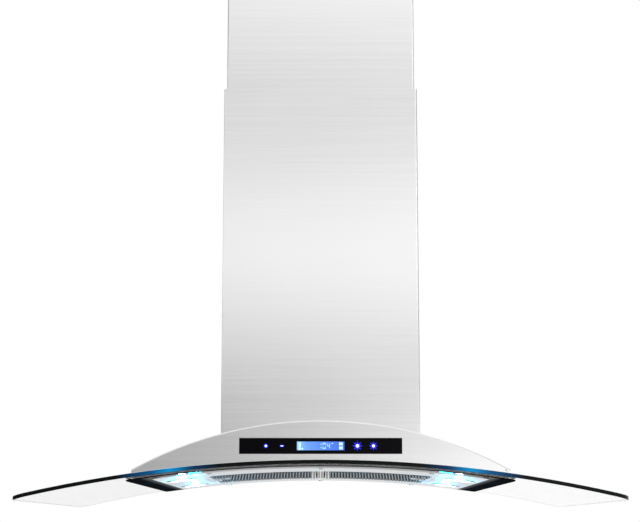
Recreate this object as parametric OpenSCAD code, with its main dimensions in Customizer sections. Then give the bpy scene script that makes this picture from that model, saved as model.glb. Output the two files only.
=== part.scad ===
// Island range hood: a curved glass canopy hung from the ceiling by a two-piece chimney.
// Millimetres, +Z up, the front faces -Y. The origin is the middle of the ceiling bracket's
// top face, so everything hangs below Z = 0.

/* [Height] */
// Ceiling down to the crown of the glass
ceiling_to_glass = 1024; // [900:1:1240]
// How far the canopy can be raised from its installed height
raise_travel = 200; // [120:5:220]
// How far the canopy can be lowered from its installed height
lower_travel = 100; // [40:5:120]

/* [Glass canopy] */
// Width of the glass, left to right
glass_w = 914; // [800:1:1120]
// Depth of the glass, front to back
glass_d = 600; // [500:1:720]
// Thickness of the glass
glass_t = 6; // [5:0.5:8]
// Radius of the arch, at the top face of the glass
glass_r = 1980; // [1700:10:2600]
// Corner radius of the glass, seen from above
glass_corner_r = 25; // [10:1:60]
// Thickness of the gaskets above and below the glass
gasket_t = 1; // [0.5:0.5:2]

/* [Steel body] */
// Width of the steel body on the glass
body_w = 566; // [470:1:680]
// Glass showing in front of and behind the body
body_setback = 28; // [10:1:40]
// Height of the body's crown above the glass
body_rise = 60; // [50:1:80]
// Height of the body's two ends above the glass
body_end_h = 6.5; // [5:0.5:12]
// Sheet steel of the body
body_sheet = 1; // [0.8:0.1:1.5]
// Width of the body's flanges that lie on the glass
body_flange = 64; // [55:1:66]

/* [Chimney] */
// Width of the lower chimney
lower_chimney_w = 320; // [266:1:384]
// Depth of the lower chimney
lower_chimney_d = 270; // [260:1:324]
// Top edge of the lower chimney above the crown of the glass
lower_chimney_top = 624; // [560:1:680]
// Gap on each side between the two chimneys, sheet included
chimney_nest = 4; // [3:0.5:8]
// Length of the upper chimney inside the lower one
chimney_overlap = 186; // [180:1:200]
// Sheet steel of both chimneys
chimney_sheet = 0.8; // [0.6:0.1:1.2]

/* [Ceiling bracket and posts] */
// Plate thickness of the ceiling bracket and the posts
frame_t = 2; // [1.5:0.5:3]
// Ceiling bolts' distance inside the lower chimney's left and right sides
bolt_inset_x = 30; // [27:1:34]
// Ceiling bolts' distance inside the lower chimney's front and back
bolt_inset_y = 25; // [23:1:28]
// Radius of the ceiling bolt holes
bolt_r = 4.5; // [3:0.5:5]
// Duct opening's distance inside the lower chimney's left and right sides
duct_inset_x = 50; // [46:1:55]
// Duct opening's distance inside the lower chimney's front and back
duct_inset_y = 40; // [37:1:45]
// Width of the posts' legs
post_leg = 25; // [20:1:28]
// Top of the lower posts above the crown of the glass
lower_post_top = 624; // [600:1:650]
// Space between the upper posts and the upper chimney
post_gap = 6.2; // [6:0.1:8]

/* [Blower] */
// Height of the blower box
blower_h = 230; // [215:1:250]
// Height of the neck between the body's crown and the blower box
neck_h = 24; // [16:1:40]
// Space between the blower box and the lower posts, bolt heads included
blower_gap = 7.7; // [7:0.1:10]
// Gap between the fan wheels and the scroll's tongue
tongue_gap = 6; // [4:1:8]
// Growth of the scroll's radius round its turn
scroll_growth = 24; // [16:1:26]
// Width of the scroll
scroll_w = 112; // [100:1:116]
// Outer radius of the two fan wheels
wheel_r = 54; // [45:0.2:65]
// Vanes on each fan wheel
wheel_vanes = 30; // [18:1:40]
// Gap between the motor and the ring of vanes round it
motor_gap = 6; // [5:1:14]
// Length of the motor
motor_len = 60; // [56:1:64]
// Radius of the motor shaft
shaft_r = 4; // [3:0.5:5]

/* [Duct collar] */
// Outer radius of the duct collar
collar_r = 75; // [62.5:0.5:75]
// Height of the duct collar
collar_h = 70; // [60:1:90]
// Wall of the duct collar
collar_wall = 1.5; // [1:0.25:2]
// Radius of the hinge pin of the damper flaps
damper_pin_r = 2; // [1.5:0.25:3]

/* [Controls] */
// Width of the black glass control strip
control_w = 244; // [220:1:300]
// Height of the control strip
control_h = 24; // [20:1:28]
// Lower edge of the control strip above the crown of the glass
control_z = 9.6; // [8:0.1:14]
// Width of the display window
lcd_w = 71; // [50:1:90]
// Height of the display window
lcd_h = 13; // [9:1:15]

/* [Underside] */
// Black under-plate showing beyond each end of the body
under_overhang = 9; // [5:1:37]
// Thickness of the under-plate
under_t = 2; // [1.5:0.5:3]
// Black under-plate showing beyond each end of the light steel panel
panel_inset_x = 36; // [22:1:40]
// Black under-plate showing in front of and behind the light steel panel
panel_inset_y = 27; // [22:1:42]
// Thickness of the light steel panel
panel_t = 1.2; // [1:0.1:1.6]
// Width at each end of the plate's opening that is left for the lamps
lamp_band = 57; // [56:1:78]
// Depth of the grease filters
filter_d = 280; // [240:1:300]
// Thickness of the grease filters
filter_t = 9; // [7:1:11]
// Width of the filters' frames
filter_rim = 9; // [7:1:12]
// Width of the bar between the filters
divider_w = 10; // [8:1:16]
// How far the filters drop
filter_drop = 60; // [30:5:65]

/* [Lamps] */
// Distance of the lamps' middles from the end of the plate's opening
lamp_inset = 20; // [18:1:22]
// Front to back place of the lamps
lamp_y = 115; // [60:1:160]
// Radius of the lamp bezels
lamp_r = 25; // [20:1:26]

/* [Hidden] */

$fn = 64;
// Segments of the long arches
arch_fn = 720;
// Gap between pieces that move past each other
clear = 0.3;
// Clearance of a shaft or pin that turns in a bore
run = 0.05;
// Amount by which cutting shapes overrun
over = 1;
// Half height of the blocks that trim arched pieces
trim_reach = 300;

// Heights. Offsets "above the glass" are radial, measured from its top face.
glass_z = -ceiling_to_glass;
arch_axis_z = glass_z - glass_r;
body_d = glass_d - 2 * body_setback;
body_half = body_w / 2;
glass_sag = glass_r - sqrt(glass_r * glass_r - body_half * body_half);
body_sag = body_rise - body_end_h + glass_sag;
body_r = (body_half * body_half + body_sag * body_sag) / (2 * body_sag);
body_axis_z = glass_z + body_rise - body_r;
seat = gasket_t;
end_bearing = 27;
end_lip = 12;
face_bearing = 50;
cutout_w = body_w - 2 * end_bearing;
cutout_d = body_d - 2 * face_bearing;
cutout_corner = 12;

// Chimneys and posts, as half sizes from the axis
lower_in_x = lower_chimney_w / 2 - chimney_sheet;
lower_in_y = lower_chimney_d / 2 - chimney_sheet;
upper_x = lower_chimney_w / 2 - chimney_nest;
upper_y = lower_chimney_d / 2 - chimney_nest;
upper_in_x = upper_x - chimney_sheet;
upper_in_y = upper_y - chimney_sheet;
chimney_top_z = glass_z + lower_chimney_top;
upper_chimney_h = chimney_overlap - chimney_top_z;
post_x = upper_in_x - post_gap;
post_y = upper_in_y - post_gap;
inner_post_x = post_x - frame_t - clear;
inner_post_y = post_y - frame_t - clear;
inner_post_leg = post_leg - frame_t;
lower_post_z = glass_z + lower_post_top;
post_bolt_r = 3;
post_bolt_y = post_y - post_leg / 2;
post_bolt_drops = [20, 50];
post_bolt_head_r = 5;
post_bolt_head_t = 3.5;
post_bolt_tip = 5;
post_nut_t = 4;
post_end = 10;
upper_post_len = post_bolt_drops[1] + lower_travel + post_end - lower_post_z;
foot = 18;
foot_screw_inset = foot / 2 + 1;
bracket_x = upper_in_x - clear;
bracket_y = upper_in_y - clear;
bracket_flange = 22;
bracket_notch = 25;
bracket_corner = 12;
screw_r = 2;
screw_head_r = 4;
screw_head_t = 2.2;
chimney_screw_y = upper_in_y - 45;
chimney_screw_z = -14;

// Blower
blower_x = inner_post_x - frame_t - blower_gap;
blower_y = inner_post_y - frame_t - blower_gap + 1;
blower_sheet = 1;
neck_inset = 12;
neck_x = blower_x - neck_inset;
neck_y = blower_y - neck_inset;
neck_flange = 10;
neck_seal = 2;
neck_top_z = glass_z + body_rise + neck_h;
blower_z = neck_top_z + neck_seal;
blower_top_z = blower_z + blower_h;
scroll_r = wheel_r + tongue_gap;
scroll_side = 19;
scroll_foot = 48;
scroll_y = scroll_r + scroll_side - blower_y;
scroll_z = blower_z + scroll_r + scroll_foot;
scroll_sheet = 1;
scroll_start = 60;
scroll_steps = 30;
scroll_eye_r = wheel_r - 6;
tongue_u = scroll_r * cos(scroll_start);
outlet_top = blower_top_z - blower_sheet - scroll_z;
wheel_gap = 8;
bracket_gap = 3;
wheel_end = scroll_w / 2 - 4;
wheel_hub = motor_len / 2 + 3;
wheel_plate = 2;
wheel_rim = 10;
shaft_short = 2;
vane_t = 1;
vane_inset = 0.6;
vane_depth = wheel_rim - 2;
vane_lean = 25;
motor_r = wheel_r - wheel_rim - motor_gap;
motor_wall = 3;
motor_ring_t = 3;
motor_arm_t = 8;
motor_end = 9;
stator_len = 28;
winding_depth = 11;
rotor_gap = 1;
bearing_r = 11;
bearing_w = 7;
bearing_x = motor_len / 2 - motor_end;
collar_base_z = blower_top_z;
collar_bore_r = collar_r - collar_wall;
collar_flange_w = 13;
collar_flange_r = collar_r + collar_flange_w;
collar_screw_edge = 6;
collar_screw_r = collar_flange_r - collar_screw_edge;
collar_fn = 128;
damper_z = collar_base_z + 22;
damper_pin_end = 0.8;
barrel_r = damper_pin_r + 1.2;
barrel_len = 18;
barrel_pitch = 24;
flap_gap = 1.5;
flap_r = collar_bore_r - flap_gap;
flap_t = 0.8;
stop_reach = 8;
stop_w = 6;
stop_t = 2;
gland_x = blower_x - 45;
gland_y = blower_y - 33;
gland_bore_r = 4;
gland_r = 8;
gland_nut_r = 10;
gland_nut_t = 5;
gland_thread_r = 7;
gland_thread = 5;
gland_h = 18;

// Controls and electronics
control_front = -body_d / 2 - 0.4;
control_t = 3;
control_mid = glass_z + control_z + control_h / 2;
control_depth = 12;
tray_back = control_front + control_t + control_depth;
tray_lip = 4;
tray_floor = 2;
lamp_module_t = 4;
lcd_border = 2;
icon_x = [-82, -58, 55, 79];
icon_r = 4;
board_t = 1.6;
board_side = 4;
board_edge = 2;
power_w = 160;
power_d = 40;
power_h = 32;
power_sheet = 1;
power_y = -body_d / 2 + 20;
power_z = glass_z + seat + body_sheet;
power_board_z = power_z + 5;
capacitor_r = 11;
capacitor_len = 44;
capacitor_x = 20;
transformer_x = -60;
transformer_w = 40;
transformer_h = 22;
transformer_gap = 6;

// Underside layers
under_top = -glass_t - gasket_t;
panel_top = under_top - under_t;
panel_bottom = panel_top - panel_t;
under_w = body_w + 2 * under_overhang;
under_d = body_d;
under_corner = 12;
under_ledge_x = 12;
under_ledge_y = 14;
under_open_w = cutout_w - 2 * under_ledge_x;
under_open_d = cutout_d - 2 * under_ledge_y;
under_open_corner = 10;
panel_w = under_w - 2 * panel_inset_x;
panel_d = under_d - 2 * panel_inset_y;
panel_corner = 14;
filters_w = under_open_w - 2 * lamp_band;
filter_half_w = filters_w / 2;
hinge_x = divider_w / 2;
hinge_gap = panel_t * tan(filter_drop) + 2 * clear;
hinge_axis_x = hinge_x + hinge_gap / 2;
hinge_axis_z = glass_z + panel_top;
filter_in_x = hinge_x + hinge_gap;
opening_fit = 0.6;
plenum_gap = 9;
plenum_x = filter_half_w + plenum_gap;
plenum_y = filter_d / 2 + plenum_gap;
plenum_sheet = 1;
plenum_flange = 7;
plenum_foot = 60;
gasket_inset = 3;
gasket_open = 2;
clamp_x = cutout_w / 2 - 6;
clamp_y = cutout_d / 2 - 7;
clamp_row = cutout_w / 2 - 56;
clamp_rows = [-clamp_row, -100, 100, clamp_row];
clamp_sides = [-70, 70];
clamp_r = 2.5;
clamp_head_r = 4.5;
clamp_head_t = 2.5;
clamp_bush_r = 5;
panel_screw_side = panel_w / 2 - 86;
panel_screw_x = [-panel_screw_side, 0, panel_screw_side];
panel_screw_y = panel_d / 2 - 13;
panel_screw_head_r = 3.6;
panel_screw_head_t = 1.6;
lamp_x = under_open_w / 2 - lamp_inset;
lamp_body_r = lamp_r - 7;
lamp_body_h = 12;
lamp_wall = 2;
lamp_end = 1;
lamp_rim_t = 1.5;
// Drop of the arch across a bezel, so that the flat bezel clears the curved panel
lamp_seat = lamp_r * lamp_r / (2 * (glass_r + panel_bottom));
lens_recess = 0.3;
hinge_tab_len = 22;
hinge_tab_t = 1.2;
hinge_tab_x = 1;
hinge_bead_r = 1;

// Filter latches, in a flat frame that is tangent to the arch
latch_angle = asin((filter_half_w - 14) / (glass_r + panel_bottom));
latch_grip = 1.5;
scoop_r = 5;
scoop_end = 3;
scoop_shift = 1.5;
mesh_skin = 1;
latch_w = 15;
latch_len = 34;
latch_travel = 6;
latch_edge = 9;
latch_pad_w = 34;
latch_pad_len = 52;
tongue_len = 16;
tongue_z = panel_t + 0.6;
tongue_t = 1.8;

// ---------- Shared shapes ----------

// Half sizes are rounded to a hundredth, so that the straight edges stay tangent to the corners
function hundredth(v) = round(v * 100) / 100;

module rounded_rect(w, d, r) {
    x = hundredth(w / 2);
    y = hundredth(d / 2);
    square([2 * (x - r), 2 * y], center = true);
    square([2 * x, 2 * (y - r)], center = true);
    for (i = [-1, 1], j = [-1, 1])
        translate([i * (x - r), j * (y - r)])
            circle(r);
}

// Rectangular ring with sharp inside and outside corners, as an upright tube
module tube(x, y, wall, z0, z1) {
    translate([0, 0, z0])
        linear_extrude(z1 - z0)
            difference() {
                square([2 * x, 2 * y], center = true);
                square([2 * (x - wall), 2 * (y - wall)], center = true);
            }
}

// Upright block with rounded plan corners, deep enough to trim any arch
module plan_block(w, d, r) {
    translate([0, 0, glass_z - trim_reach])
        linear_extrude(2 * trim_reach)
            rounded_rect(w, d, r);
}

// Curved sheet that follows the arch: its top face lies "top" above the glass
module arch_sheet(top, t, w, d) {
    translate([0, 0, arch_axis_z])
        rotate([90, 0, 0])
            linear_extrude(d, center = true)
                intersection() {
                    difference() {
                        circle(glass_r + top, $fn = arch_fn);
                        circle(glass_r + top - t, $fn = arch_fn);
                    }
                    translate([-w / 2, glass_r / 2])
                        square([w, glass_r]);
                }
}

module arch_plate(top, t, w, d, r) {
    intersection() {
        arch_sheet(top, t, w + 2 * over, d + 2 * over);
        plan_block(w, d, r);
    }
}

// Places a shape on the normal to the glass at x, with local Z pointing out along it
module on_arch(x, y, lift) {
    translate([0, y, arch_axis_z])
        rotate([0, asin(x / glass_r), 0])
            translate([0, 0, glass_r + lift])
                children();
}

// The space under (inset = 0) or inside the body's arched top, as a long prism
module under_cover(inset, w, d) {
    translate([0, 0, body_axis_z])
        rotate([90, 0, 0])
            linear_extrude(d, center = true)
                intersection() {
                    circle(body_r - inset, $fn = arch_fn);
                    translate([-w / 2, 0])
                        square([w, body_r]);
                }
}

// The shape as drawn for the rear right corner, mirrored to the other three
module at_corners() {
    for (x = [0, 1], y = [0, 1])
        mirror([x, 0, 0])
            mirror([0, y, 0])
                children();
}

module both_sides() {
    for (side = [0, 1])
        mirror([side, 0, 0])
            children();
}

// ---------- Ceiling bracket, upper posts and upper chimney ----------

module ceiling_bracket() {
    color("silver")
    difference() {
        union() {
            translate([0, 0, -frame_t])
                linear_extrude(frame_t)
                    difference() {
                        square([2 * bracket_x, 2 * bracket_y], center = true);
                        rounded_rect(lower_chimney_w - 2 * duct_inset_x,
                            lower_chimney_d - 2 * duct_inset_y, bracket_corner);
                        for (x = [-1, 1], y = [-1, 1])
                            translate([x * (lower_chimney_w / 2 - bolt_inset_x),
                                    y * (lower_chimney_d / 2 - bolt_inset_y)])
                                circle(bolt_r);
                    }
            both_sides()
                translate([bracket_x - frame_t, bracket_notch - upper_in_y, -bracket_flange])
                    cube([frame_t, 2 * (upper_in_y - bracket_notch), bracket_flange]);
        }
        both_sides()
            chimney_screw_shafts(screw_r);
    }
}

module chimney_screw_shafts(r) {
    for (y = [-1, 1])
        translate([bracket_x - frame_t - over, y * chimney_screw_y, chimney_screw_z])
            rotate([0, 90, 0])
                cylinder(h = frame_t + clear + chimney_sheet + over, r = r);
}

module angle_post(x, y, leg, z0, z1) {
    translate([0, 0, z0])
        linear_extrude(z1 - z0)
            difference() {
                translate([x - leg, y - leg])
                    square(leg);
                translate([x - leg - over, y - leg - over])
                    square(leg + over - frame_t);
            }
}

// Four L-shaped posts with a long slot each, along which the canopy is set
module upper_posts() {
    slot_top = lower_post_z - post_bolt_drops[0] + raise_travel + post_bolt_r + 1;
    slot_bottom = lower_post_z - post_bolt_drops[1] - lower_travel - post_bolt_r - 1;
    slot_w = 2 * (post_bolt_r + clear);
    color("silver")
    at_corners()
        difference() {
            angle_post(post_x, post_y, post_leg, -upper_post_len, -frame_t);
            translate([post_x - frame_t - over, post_bolt_y - slot_w / 2, slot_bottom + slot_w / 2])
                cube([frame_t + 2 * over, slot_w, slot_top - slot_bottom - slot_w]);
            for (z = [slot_bottom + slot_w / 2, slot_top - slot_w / 2])
                translate([post_x - frame_t - over, post_bolt_y, z])
                    rotate([0, 90, 0])
                        cylinder(h = frame_t + 2 * over, d = slot_w);
        }
}

module upper_chimney() {
    color([0.9, 0.9, 0.9])
    difference() {
        tube(upper_x, upper_y, chimney_sheet, -upper_chimney_h, 0);
        both_sides()
            translate([chimney_sheet, 0, 0])
                chimney_screw_shafts(screw_r);
    }
}

module chimney_screws() {
    color("gainsboro")
    both_sides()
        for (y = [-1, 1])
            translate([upper_x, y * chimney_screw_y, chimney_screw_z])
                rotate([0, 90, 0]) {
                    cylinder(h = screw_head_t, r = screw_head_r);
                    translate([0, 0, -chimney_sheet - clear - frame_t - over])
                        cylinder(h = chimney_sheet + clear + frame_t + over, r = screw_r);
                }
}

// ---------- Lower posts, which hang in the upper ones ----------

// Angle posts whose feet are scribed to the arched cover
module lower_posts() {
    color("silver")
    at_corners()
        difference() {
            union() {
                angle_post(inner_post_x, inner_post_y, inner_post_leg, glass_z, lower_post_z);
                intersection() {
                    translate([inner_post_x - foot, inner_post_y - foot, glass_z])
                        cube([foot, foot, body_rise + frame_t]);
                    under_cover(-frame_t, lower_chimney_w, lower_chimney_d);
                }
            }
            under_cover(0, lower_chimney_w + over, lower_chimney_d + over);
            for (drop = post_bolt_drops)
                post_bolt_shaft(drop);
            foot_screw_shaft();
        }
}

module post_bolt_shaft(drop) {
    translate([inner_post_x - frame_t - over, post_bolt_y, lower_post_z - drop])
        rotate([0, 90, 0])
            cylinder(h = post_x - inner_post_x + frame_t + 2 * over, r = post_bolt_r);
}

module foot_screw_shaft() {
    translate([inner_post_x - foot_screw_inset, inner_post_y - foot_screw_inset, glass_z])
        cylinder(h = body_rise + over, r = screw_r);
}

module post_bolts() {
    color("gainsboro")
    at_corners()
        for (drop = post_bolt_drops)
            translate([inner_post_x - frame_t, post_bolt_y, lower_post_z - drop])
                rotate([0, 90, 0]) {
                    cylinder(h = post_x - inner_post_x + frame_t + post_bolt_tip, r = post_bolt_r);
                    translate([0, 0, -post_bolt_head_t])
                        cylinder(h = post_bolt_head_t, r = post_bolt_head_r);
                }
}

module post_nuts() {
    color("gainsboro")
    at_corners()
        for (drop = post_bolt_drops)
            translate([post_x + clear, post_bolt_y, lower_post_z - drop])
                rotate([0, 90, 0])
                    difference() {
                        cylinder(h = post_nut_t, r = post_bolt_head_r + 0.5, $fn = 6);
                        translate([0, 0, -over])
                            cylinder(h = post_nut_t + 2 * over, r = post_bolt_r);
                    }
}

module post_foot_screws() {
    foot_x = inner_post_x - foot_screw_inset;
    foot_top = body_axis_z + sqrt(pow(body_r + frame_t, 2) - pow(foot_x - screw_head_r, 2));
    shank = 6;
    color("gainsboro")
    at_corners()
        translate([foot_x, inner_post_y - foot_screw_inset, foot_top]) {
            cylinder(h = screw_head_t, r = screw_head_r);
            translate([0, 0, -shank])
                cylinder(h = shank, r = screw_r);
        }
}

// ---------- Steel body on the glass ----------

// Side outline of the body: arched top, arched foot that follows the glass
module body_slice(y0, y1) {
    difference() {
        translate([0, (y0 + y1) / 2, 0])
            under_cover(0, body_w, abs(y1 - y0));
        arch_space(clear);
    }
}

// Everything up to a given height above the glass
module arch_space(top) {
    translate([0, 0, arch_axis_z])
        rotate([90, 0, 0])
            cylinder(h = 2 * glass_d, r = glass_r + top, center = true, $fn = arch_fn);
}

// One face of the body with the flange that lies on the glass
module body_face(y) {
    inner = y < 0 ? y + body_sheet : y - body_sheet;
    flange_y = y < 0 ? y + body_flange / 2 : y - body_flange / 2;
    body_slice(min(y, inner), max(y, inner));
    difference() {
        translate([0, flange_y, 0])
            arch_sheet(seat + body_sheet, body_sheet, body_w - 2 * body_sheet, body_flange);
        clamp_shafts(clamp_r);
    }
}

module front_panel() {
    color([0.82, 0.82, 0.82])
    difference() {
        body_face(-body_d / 2);
        translate([-control_w / 2, -body_d / 2 - over, glass_z + control_z])
            cube([control_w, body_sheet + 2 * over, control_h]);
    }
}

module rear_panel() {
    color([0.82, 0.82, 0.82])
    body_face(body_d / 2);
}

// Arched sheet between the two faces, with short end walls and end flanges
module top_cover() {
    depth = body_d - 2 * body_sheet;
    end_flange = end_bearing + end_lip;
    color([0.85, 0.85, 0.85])
    difference() {
        union() {
            difference() {
                under_cover(0, body_w, depth);
                under_cover(body_sheet, body_w - 2 * body_sheet, depth + over);
                arch_space(clear);
            }
            both_sides()
                difference() {
                    translate([body_half - end_flange, -depth / 2 + body_flange, glass_z - body_sag])
                        cube([end_flange - body_sheet, depth - 2 * body_flange, body_sag + body_rise]);
                    arch_space(seat);
                    difference() {
                        translate([0, 0, glass_z])
                            cube(4 * glass_w, center = true);
                        arch_space(seat + body_sheet);
                    }
                }
        }
        translate([0, 0, glass_z])
            linear_extrude(body_rise + over)
                square([2 * (neck_x - body_sheet), 2 * (neck_y - body_sheet)], center = true);
        at_corners()
            foot_screw_shaft();
        clamp_shafts(clamp_r);
    }
}

// Rectangular sheet neck that carries the blower box
module blower_neck() {
    color("silver")
    difference() {
        union() {
            tube(neck_x, neck_y, body_sheet, glass_z, neck_top_z);
            tube(neck_x + neck_flange, neck_y + neck_flange, neck_flange + body_sheet,
                neck_top_z - body_sheet, neck_top_z);
        }
        under_cover(0, lower_chimney_w, lower_chimney_d);
    }
}

// ---------- Blower ----------

module neck_gasket() {
    color([0.12, 0.12, 0.12])
    tube(neck_x + neck_flange, neck_y + neck_flange, neck_flange + body_sheet, neck_top_z, blower_z);
}

// Four walls and a floor with the neck's opening
module blower_box() {
    color([0.72, 0.74, 0.76]) {
        tube(blower_x, blower_y, blower_sheet, blower_z, blower_top_z - blower_sheet);
        tube(blower_x, blower_y, neck_inset + body_sheet, blower_z, blower_z + blower_sheet);
    }
}

// Top plate that carries the duct collar and the cable gland
module blower_lid() {
    color([0.72, 0.74, 0.76])
    difference() {
        translate([-blower_x, -blower_y, blower_top_z - blower_sheet])
            cube([2 * blower_x, 2 * blower_y, blower_sheet]);
        translate([0, 0, blower_top_z - blower_sheet - over])
            cylinder(h = blower_sheet + 2 * over, r = collar_bore_r);
        collar_screw_shafts();
        translate([gland_x, gland_y, blower_top_z - blower_sheet - over])
            cylinder(h = blower_sheet + 2 * over, r = gland_thread_r);
    }
}

// Places a profile drawn in Y and Z on the scroll's axis and extrudes it along X
module on_fan_axis(x0, x1) {
    translate([x0, scroll_y, scroll_z])
        rotate([90, 0, 90])
            linear_extrude(x1 - x0)
                children();
}

// Scroll outline: a spiral that ends in a straight outlet pointing up
function scroll_points(grow) =
    let (first = acos((tongue_u - grow) / (scroll_r + grow)),
        last_r = scroll_r + scroll_growth + grow)
    concat([for (i = [0 : scroll_steps])
            let (a = first + (360 - first) * i / scroll_steps,
                r = scroll_r + grow + scroll_growth * (a - first) / (360 - first))
            [r * cos(a), r * sin(a)]],
        [[last_r, outlet_top], [tongue_u - grow, outlet_top]]);

module scroll_housing() {
    half = scroll_w / 2;
    color([0.72, 0.74, 0.76]) {
        on_fan_axis(-half + scroll_sheet, half - scroll_sheet)
            difference() {
                polygon(scroll_points(scroll_sheet));
                polygon(scroll_points(0));
            }
        for (x = [-half, half - scroll_sheet])
            on_fan_axis(x, x + scroll_sheet)
                difference() {
                    polygon(scroll_points(scroll_sheet));
                    circle(scroll_eye_r);
                }
    }
}

module on_shaft_axis(x) {
    translate([x, scroll_y, scroll_z])
        rotate([0, 90, 0])
            children();
}

module motor_case() {
    half = motor_len / 2;
    color([0.6, 0.62, 0.64])
    difference() {
        on_shaft_axis(-half)
            cylinder(h = motor_len, r = motor_r);
        on_shaft_axis(-half + motor_end)
            cylinder(h = motor_len - 2 * motor_end, r = motor_r - motor_wall);
        on_shaft_axis(-bearing_x - bearing_w)
            cylinder(h = 2 * (bearing_x + bearing_w), r = bearing_r);
        on_shaft_axis(-half - over)
            cylinder(h = motor_len + 2 * over, r = shaft_r + 1);
    }
}

module motor_stator() {
    color([0.7, 0.45, 0.25])
    on_shaft_axis(-stator_len / 2)
        difference() {
            cylinder(h = stator_len, r = motor_r - motor_wall);
            translate([0, 0, -over])
                cylinder(h = stator_len + 2 * over, r = motor_r - motor_wall - winding_depth);
        }
}

module motor_bearings() {
    color("gainsboro")
    for (x = [-bearing_x - bearing_w, bearing_x])
        on_shaft_axis(x)
            difference() {
                cylinder(h = bearing_w, r = bearing_r);
                translate([0, 0, -over])
                    cylinder(h = bearing_w + 2 * over, r = shaft_r + run);
            }
}

// Ring round the motor with three arms to the scroll's wall
module motor_bracket() {
    width = 2 * (wheel_gap - bracket_gap);
    color("silver")
    intersection() {
        difference() {
            union() {
                on_shaft_axis(-width / 2)
                    cylinder(h = width, r = motor_r + motor_ring_t);
                for (a = [30 : 120 : 270])
                    translate([0, scroll_y, scroll_z])
                        rotate([a, 0, 0])
                            translate([-width / 2, -motor_arm_t / 2, 0])
                                cube([width, motor_arm_t, scroll_r + scroll_growth]);
            }
            on_shaft_axis(-width)
                cylinder(h = 2 * width, r = motor_r);
        }
        on_fan_axis(-width, width)
            polygon(scroll_points(0));
    }
}

module motor_shaft() {
    color("gainsboro")
    on_shaft_axis(-wheel_end + shaft_short)
        cylinder(h = 2 * (wheel_end - shaft_short), r = shaft_r);
}

module motor_core() {
    length = stator_len - 2;
    color([0.5, 0.5, 0.52])
    on_shaft_axis(-length / 2)
        difference() {
            cylinder(h = length, r = motor_r - motor_wall - winding_depth - rotor_gap);
            translate([0, 0, -over])
                cylinder(h = length + 2 * over, r = shaft_r);
        }
}

// Squirrel-cage wheel: a hub plate, an end ring and a ring of vanes
module fan_wheel() {
    color([0.75, 0.77, 0.8]) {
        on_shaft_axis(wheel_hub)
            difference() {
                cylinder(h = wheel_plate, r = wheel_r);
                translate([0, 0, -over])
                    cylinder(h = wheel_plate + 2 * over, r = shaft_r);
            }
        for (x = [wheel_gap, wheel_end - wheel_plate])
            on_shaft_axis(x)
                difference() {
                    cylinder(h = wheel_plate, r = wheel_r);
                    translate([0, 0, -over])
                        cylinder(h = wheel_plate + 2 * over, r = wheel_r - wheel_rim);
                }
        for (i = [0 : wheel_vanes - 1])
            translate([wheel_gap + wheel_plate / 2, scroll_y, scroll_z])
                rotate([i * 360 / wheel_vanes, 0, 0])
                    translate([0, -vane_t / 2, wheel_r - wheel_rim + vane_inset])
                        rotate([vane_lean, 0, 0])
                            cube([wheel_end - wheel_gap - wheel_plate, vane_t, vane_depth]);
    }
}

module fan_wheel_right() {
    fan_wheel();
}

module fan_wheel_left() {
    mirror([1, 0, 0])
        fan_wheel();
}

// ---------- Duct collar and damper ----------

module collar_screw_shafts() {
    for (a = [45 : 90 : 315])
        rotate([0, 0, a])
            translate([collar_screw_r, 0, blower_top_z - blower_sheet - over])
                cylinder(h = blower_sheet + collar_wall + 2 * over, r = screw_r);
}

module damper_pin_solid() {
    translate([0, 0, damper_z])
        rotate([90, 0, 0])
            cylinder(h = 2 * (collar_r - damper_pin_end), r = damper_pin_r, center = true);
}

module duct_collar() {
    color([0.72, 0.74, 0.76])
    difference() {
        translate([0, 0, collar_base_z]) {
            difference() {
                union() {
                    cylinder(h = collar_h, r = collar_r, $fn = collar_fn);
                    cylinder(h = collar_wall, r = collar_flange_r);
                }
                translate([0, 0, -over])
                    cylinder(h = collar_h + 2 * over, r = collar_bore_r, $fn = collar_fn);
            }
            both_sides()
                translate([flap_r - stop_reach, -stop_w / 2,
                        damper_z - collar_base_z - flap_t / 2 - clear - stop_t])
                    cube([stop_reach + flap_gap + collar_wall / 3, stop_w, stop_t]);
        }
        damper_pin_solid();
        collar_screw_shafts();
    }
}

module damper_pin() {
    color("gainsboro")
    damper_pin_solid();
}

module collar_screws() {
    color("gainsboro")
    for (a = [45 : 90 : 315])
        rotate([0, 0, a])
            translate([collar_screw_r, 0, blower_top_z - blower_sheet - 1]) {
                cylinder(h = blower_sheet + collar_wall + 1, r = screw_r);
                translate([0, 0, blower_sheet + collar_wall + 1])
                    cylinder(h = screw_head_t, r = screw_head_r);
            }
}

// Half disc with two hinge barrels; shift moves the barrels along the pin
module damper_flap(shift) {
    color([0.8, 0.8, 0.82])
    translate([0, 0, damper_z])
        difference() {
            union() {
                translate([0, 0, -flap_t / 2])
                    linear_extrude(flap_t)
                        intersection() {
                            circle(flap_r, $fn = collar_fn);
                            union() {
                                translate([barrel_r + clear, -collar_r])
                                    square([collar_r, 2 * collar_r]);
                                for (y = [-1, 1])
                                    translate([0, (y - 0.5) * barrel_pitch + shift - barrel_len / 2])
                                        square([collar_r / 2, barrel_len]);
                            }
                        }
                for (y = [-1, 1])
                    translate([0, (y - 0.5) * barrel_pitch + shift + barrel_len / 2, 0])
                        rotate([90, 0, 0])
                            cylinder(h = barrel_len, r = barrel_r);
            }
            rotate([90, 0, 0])
                cylinder(h = 2 * collar_r, r = damper_pin_r + run, center = true);
        }
}

module damper_flap_right() {
    damper_flap(0);
}

module damper_flap_left() {
    mirror([1, 0, 0])
        damper_flap(barrel_pitch);
}

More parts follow.
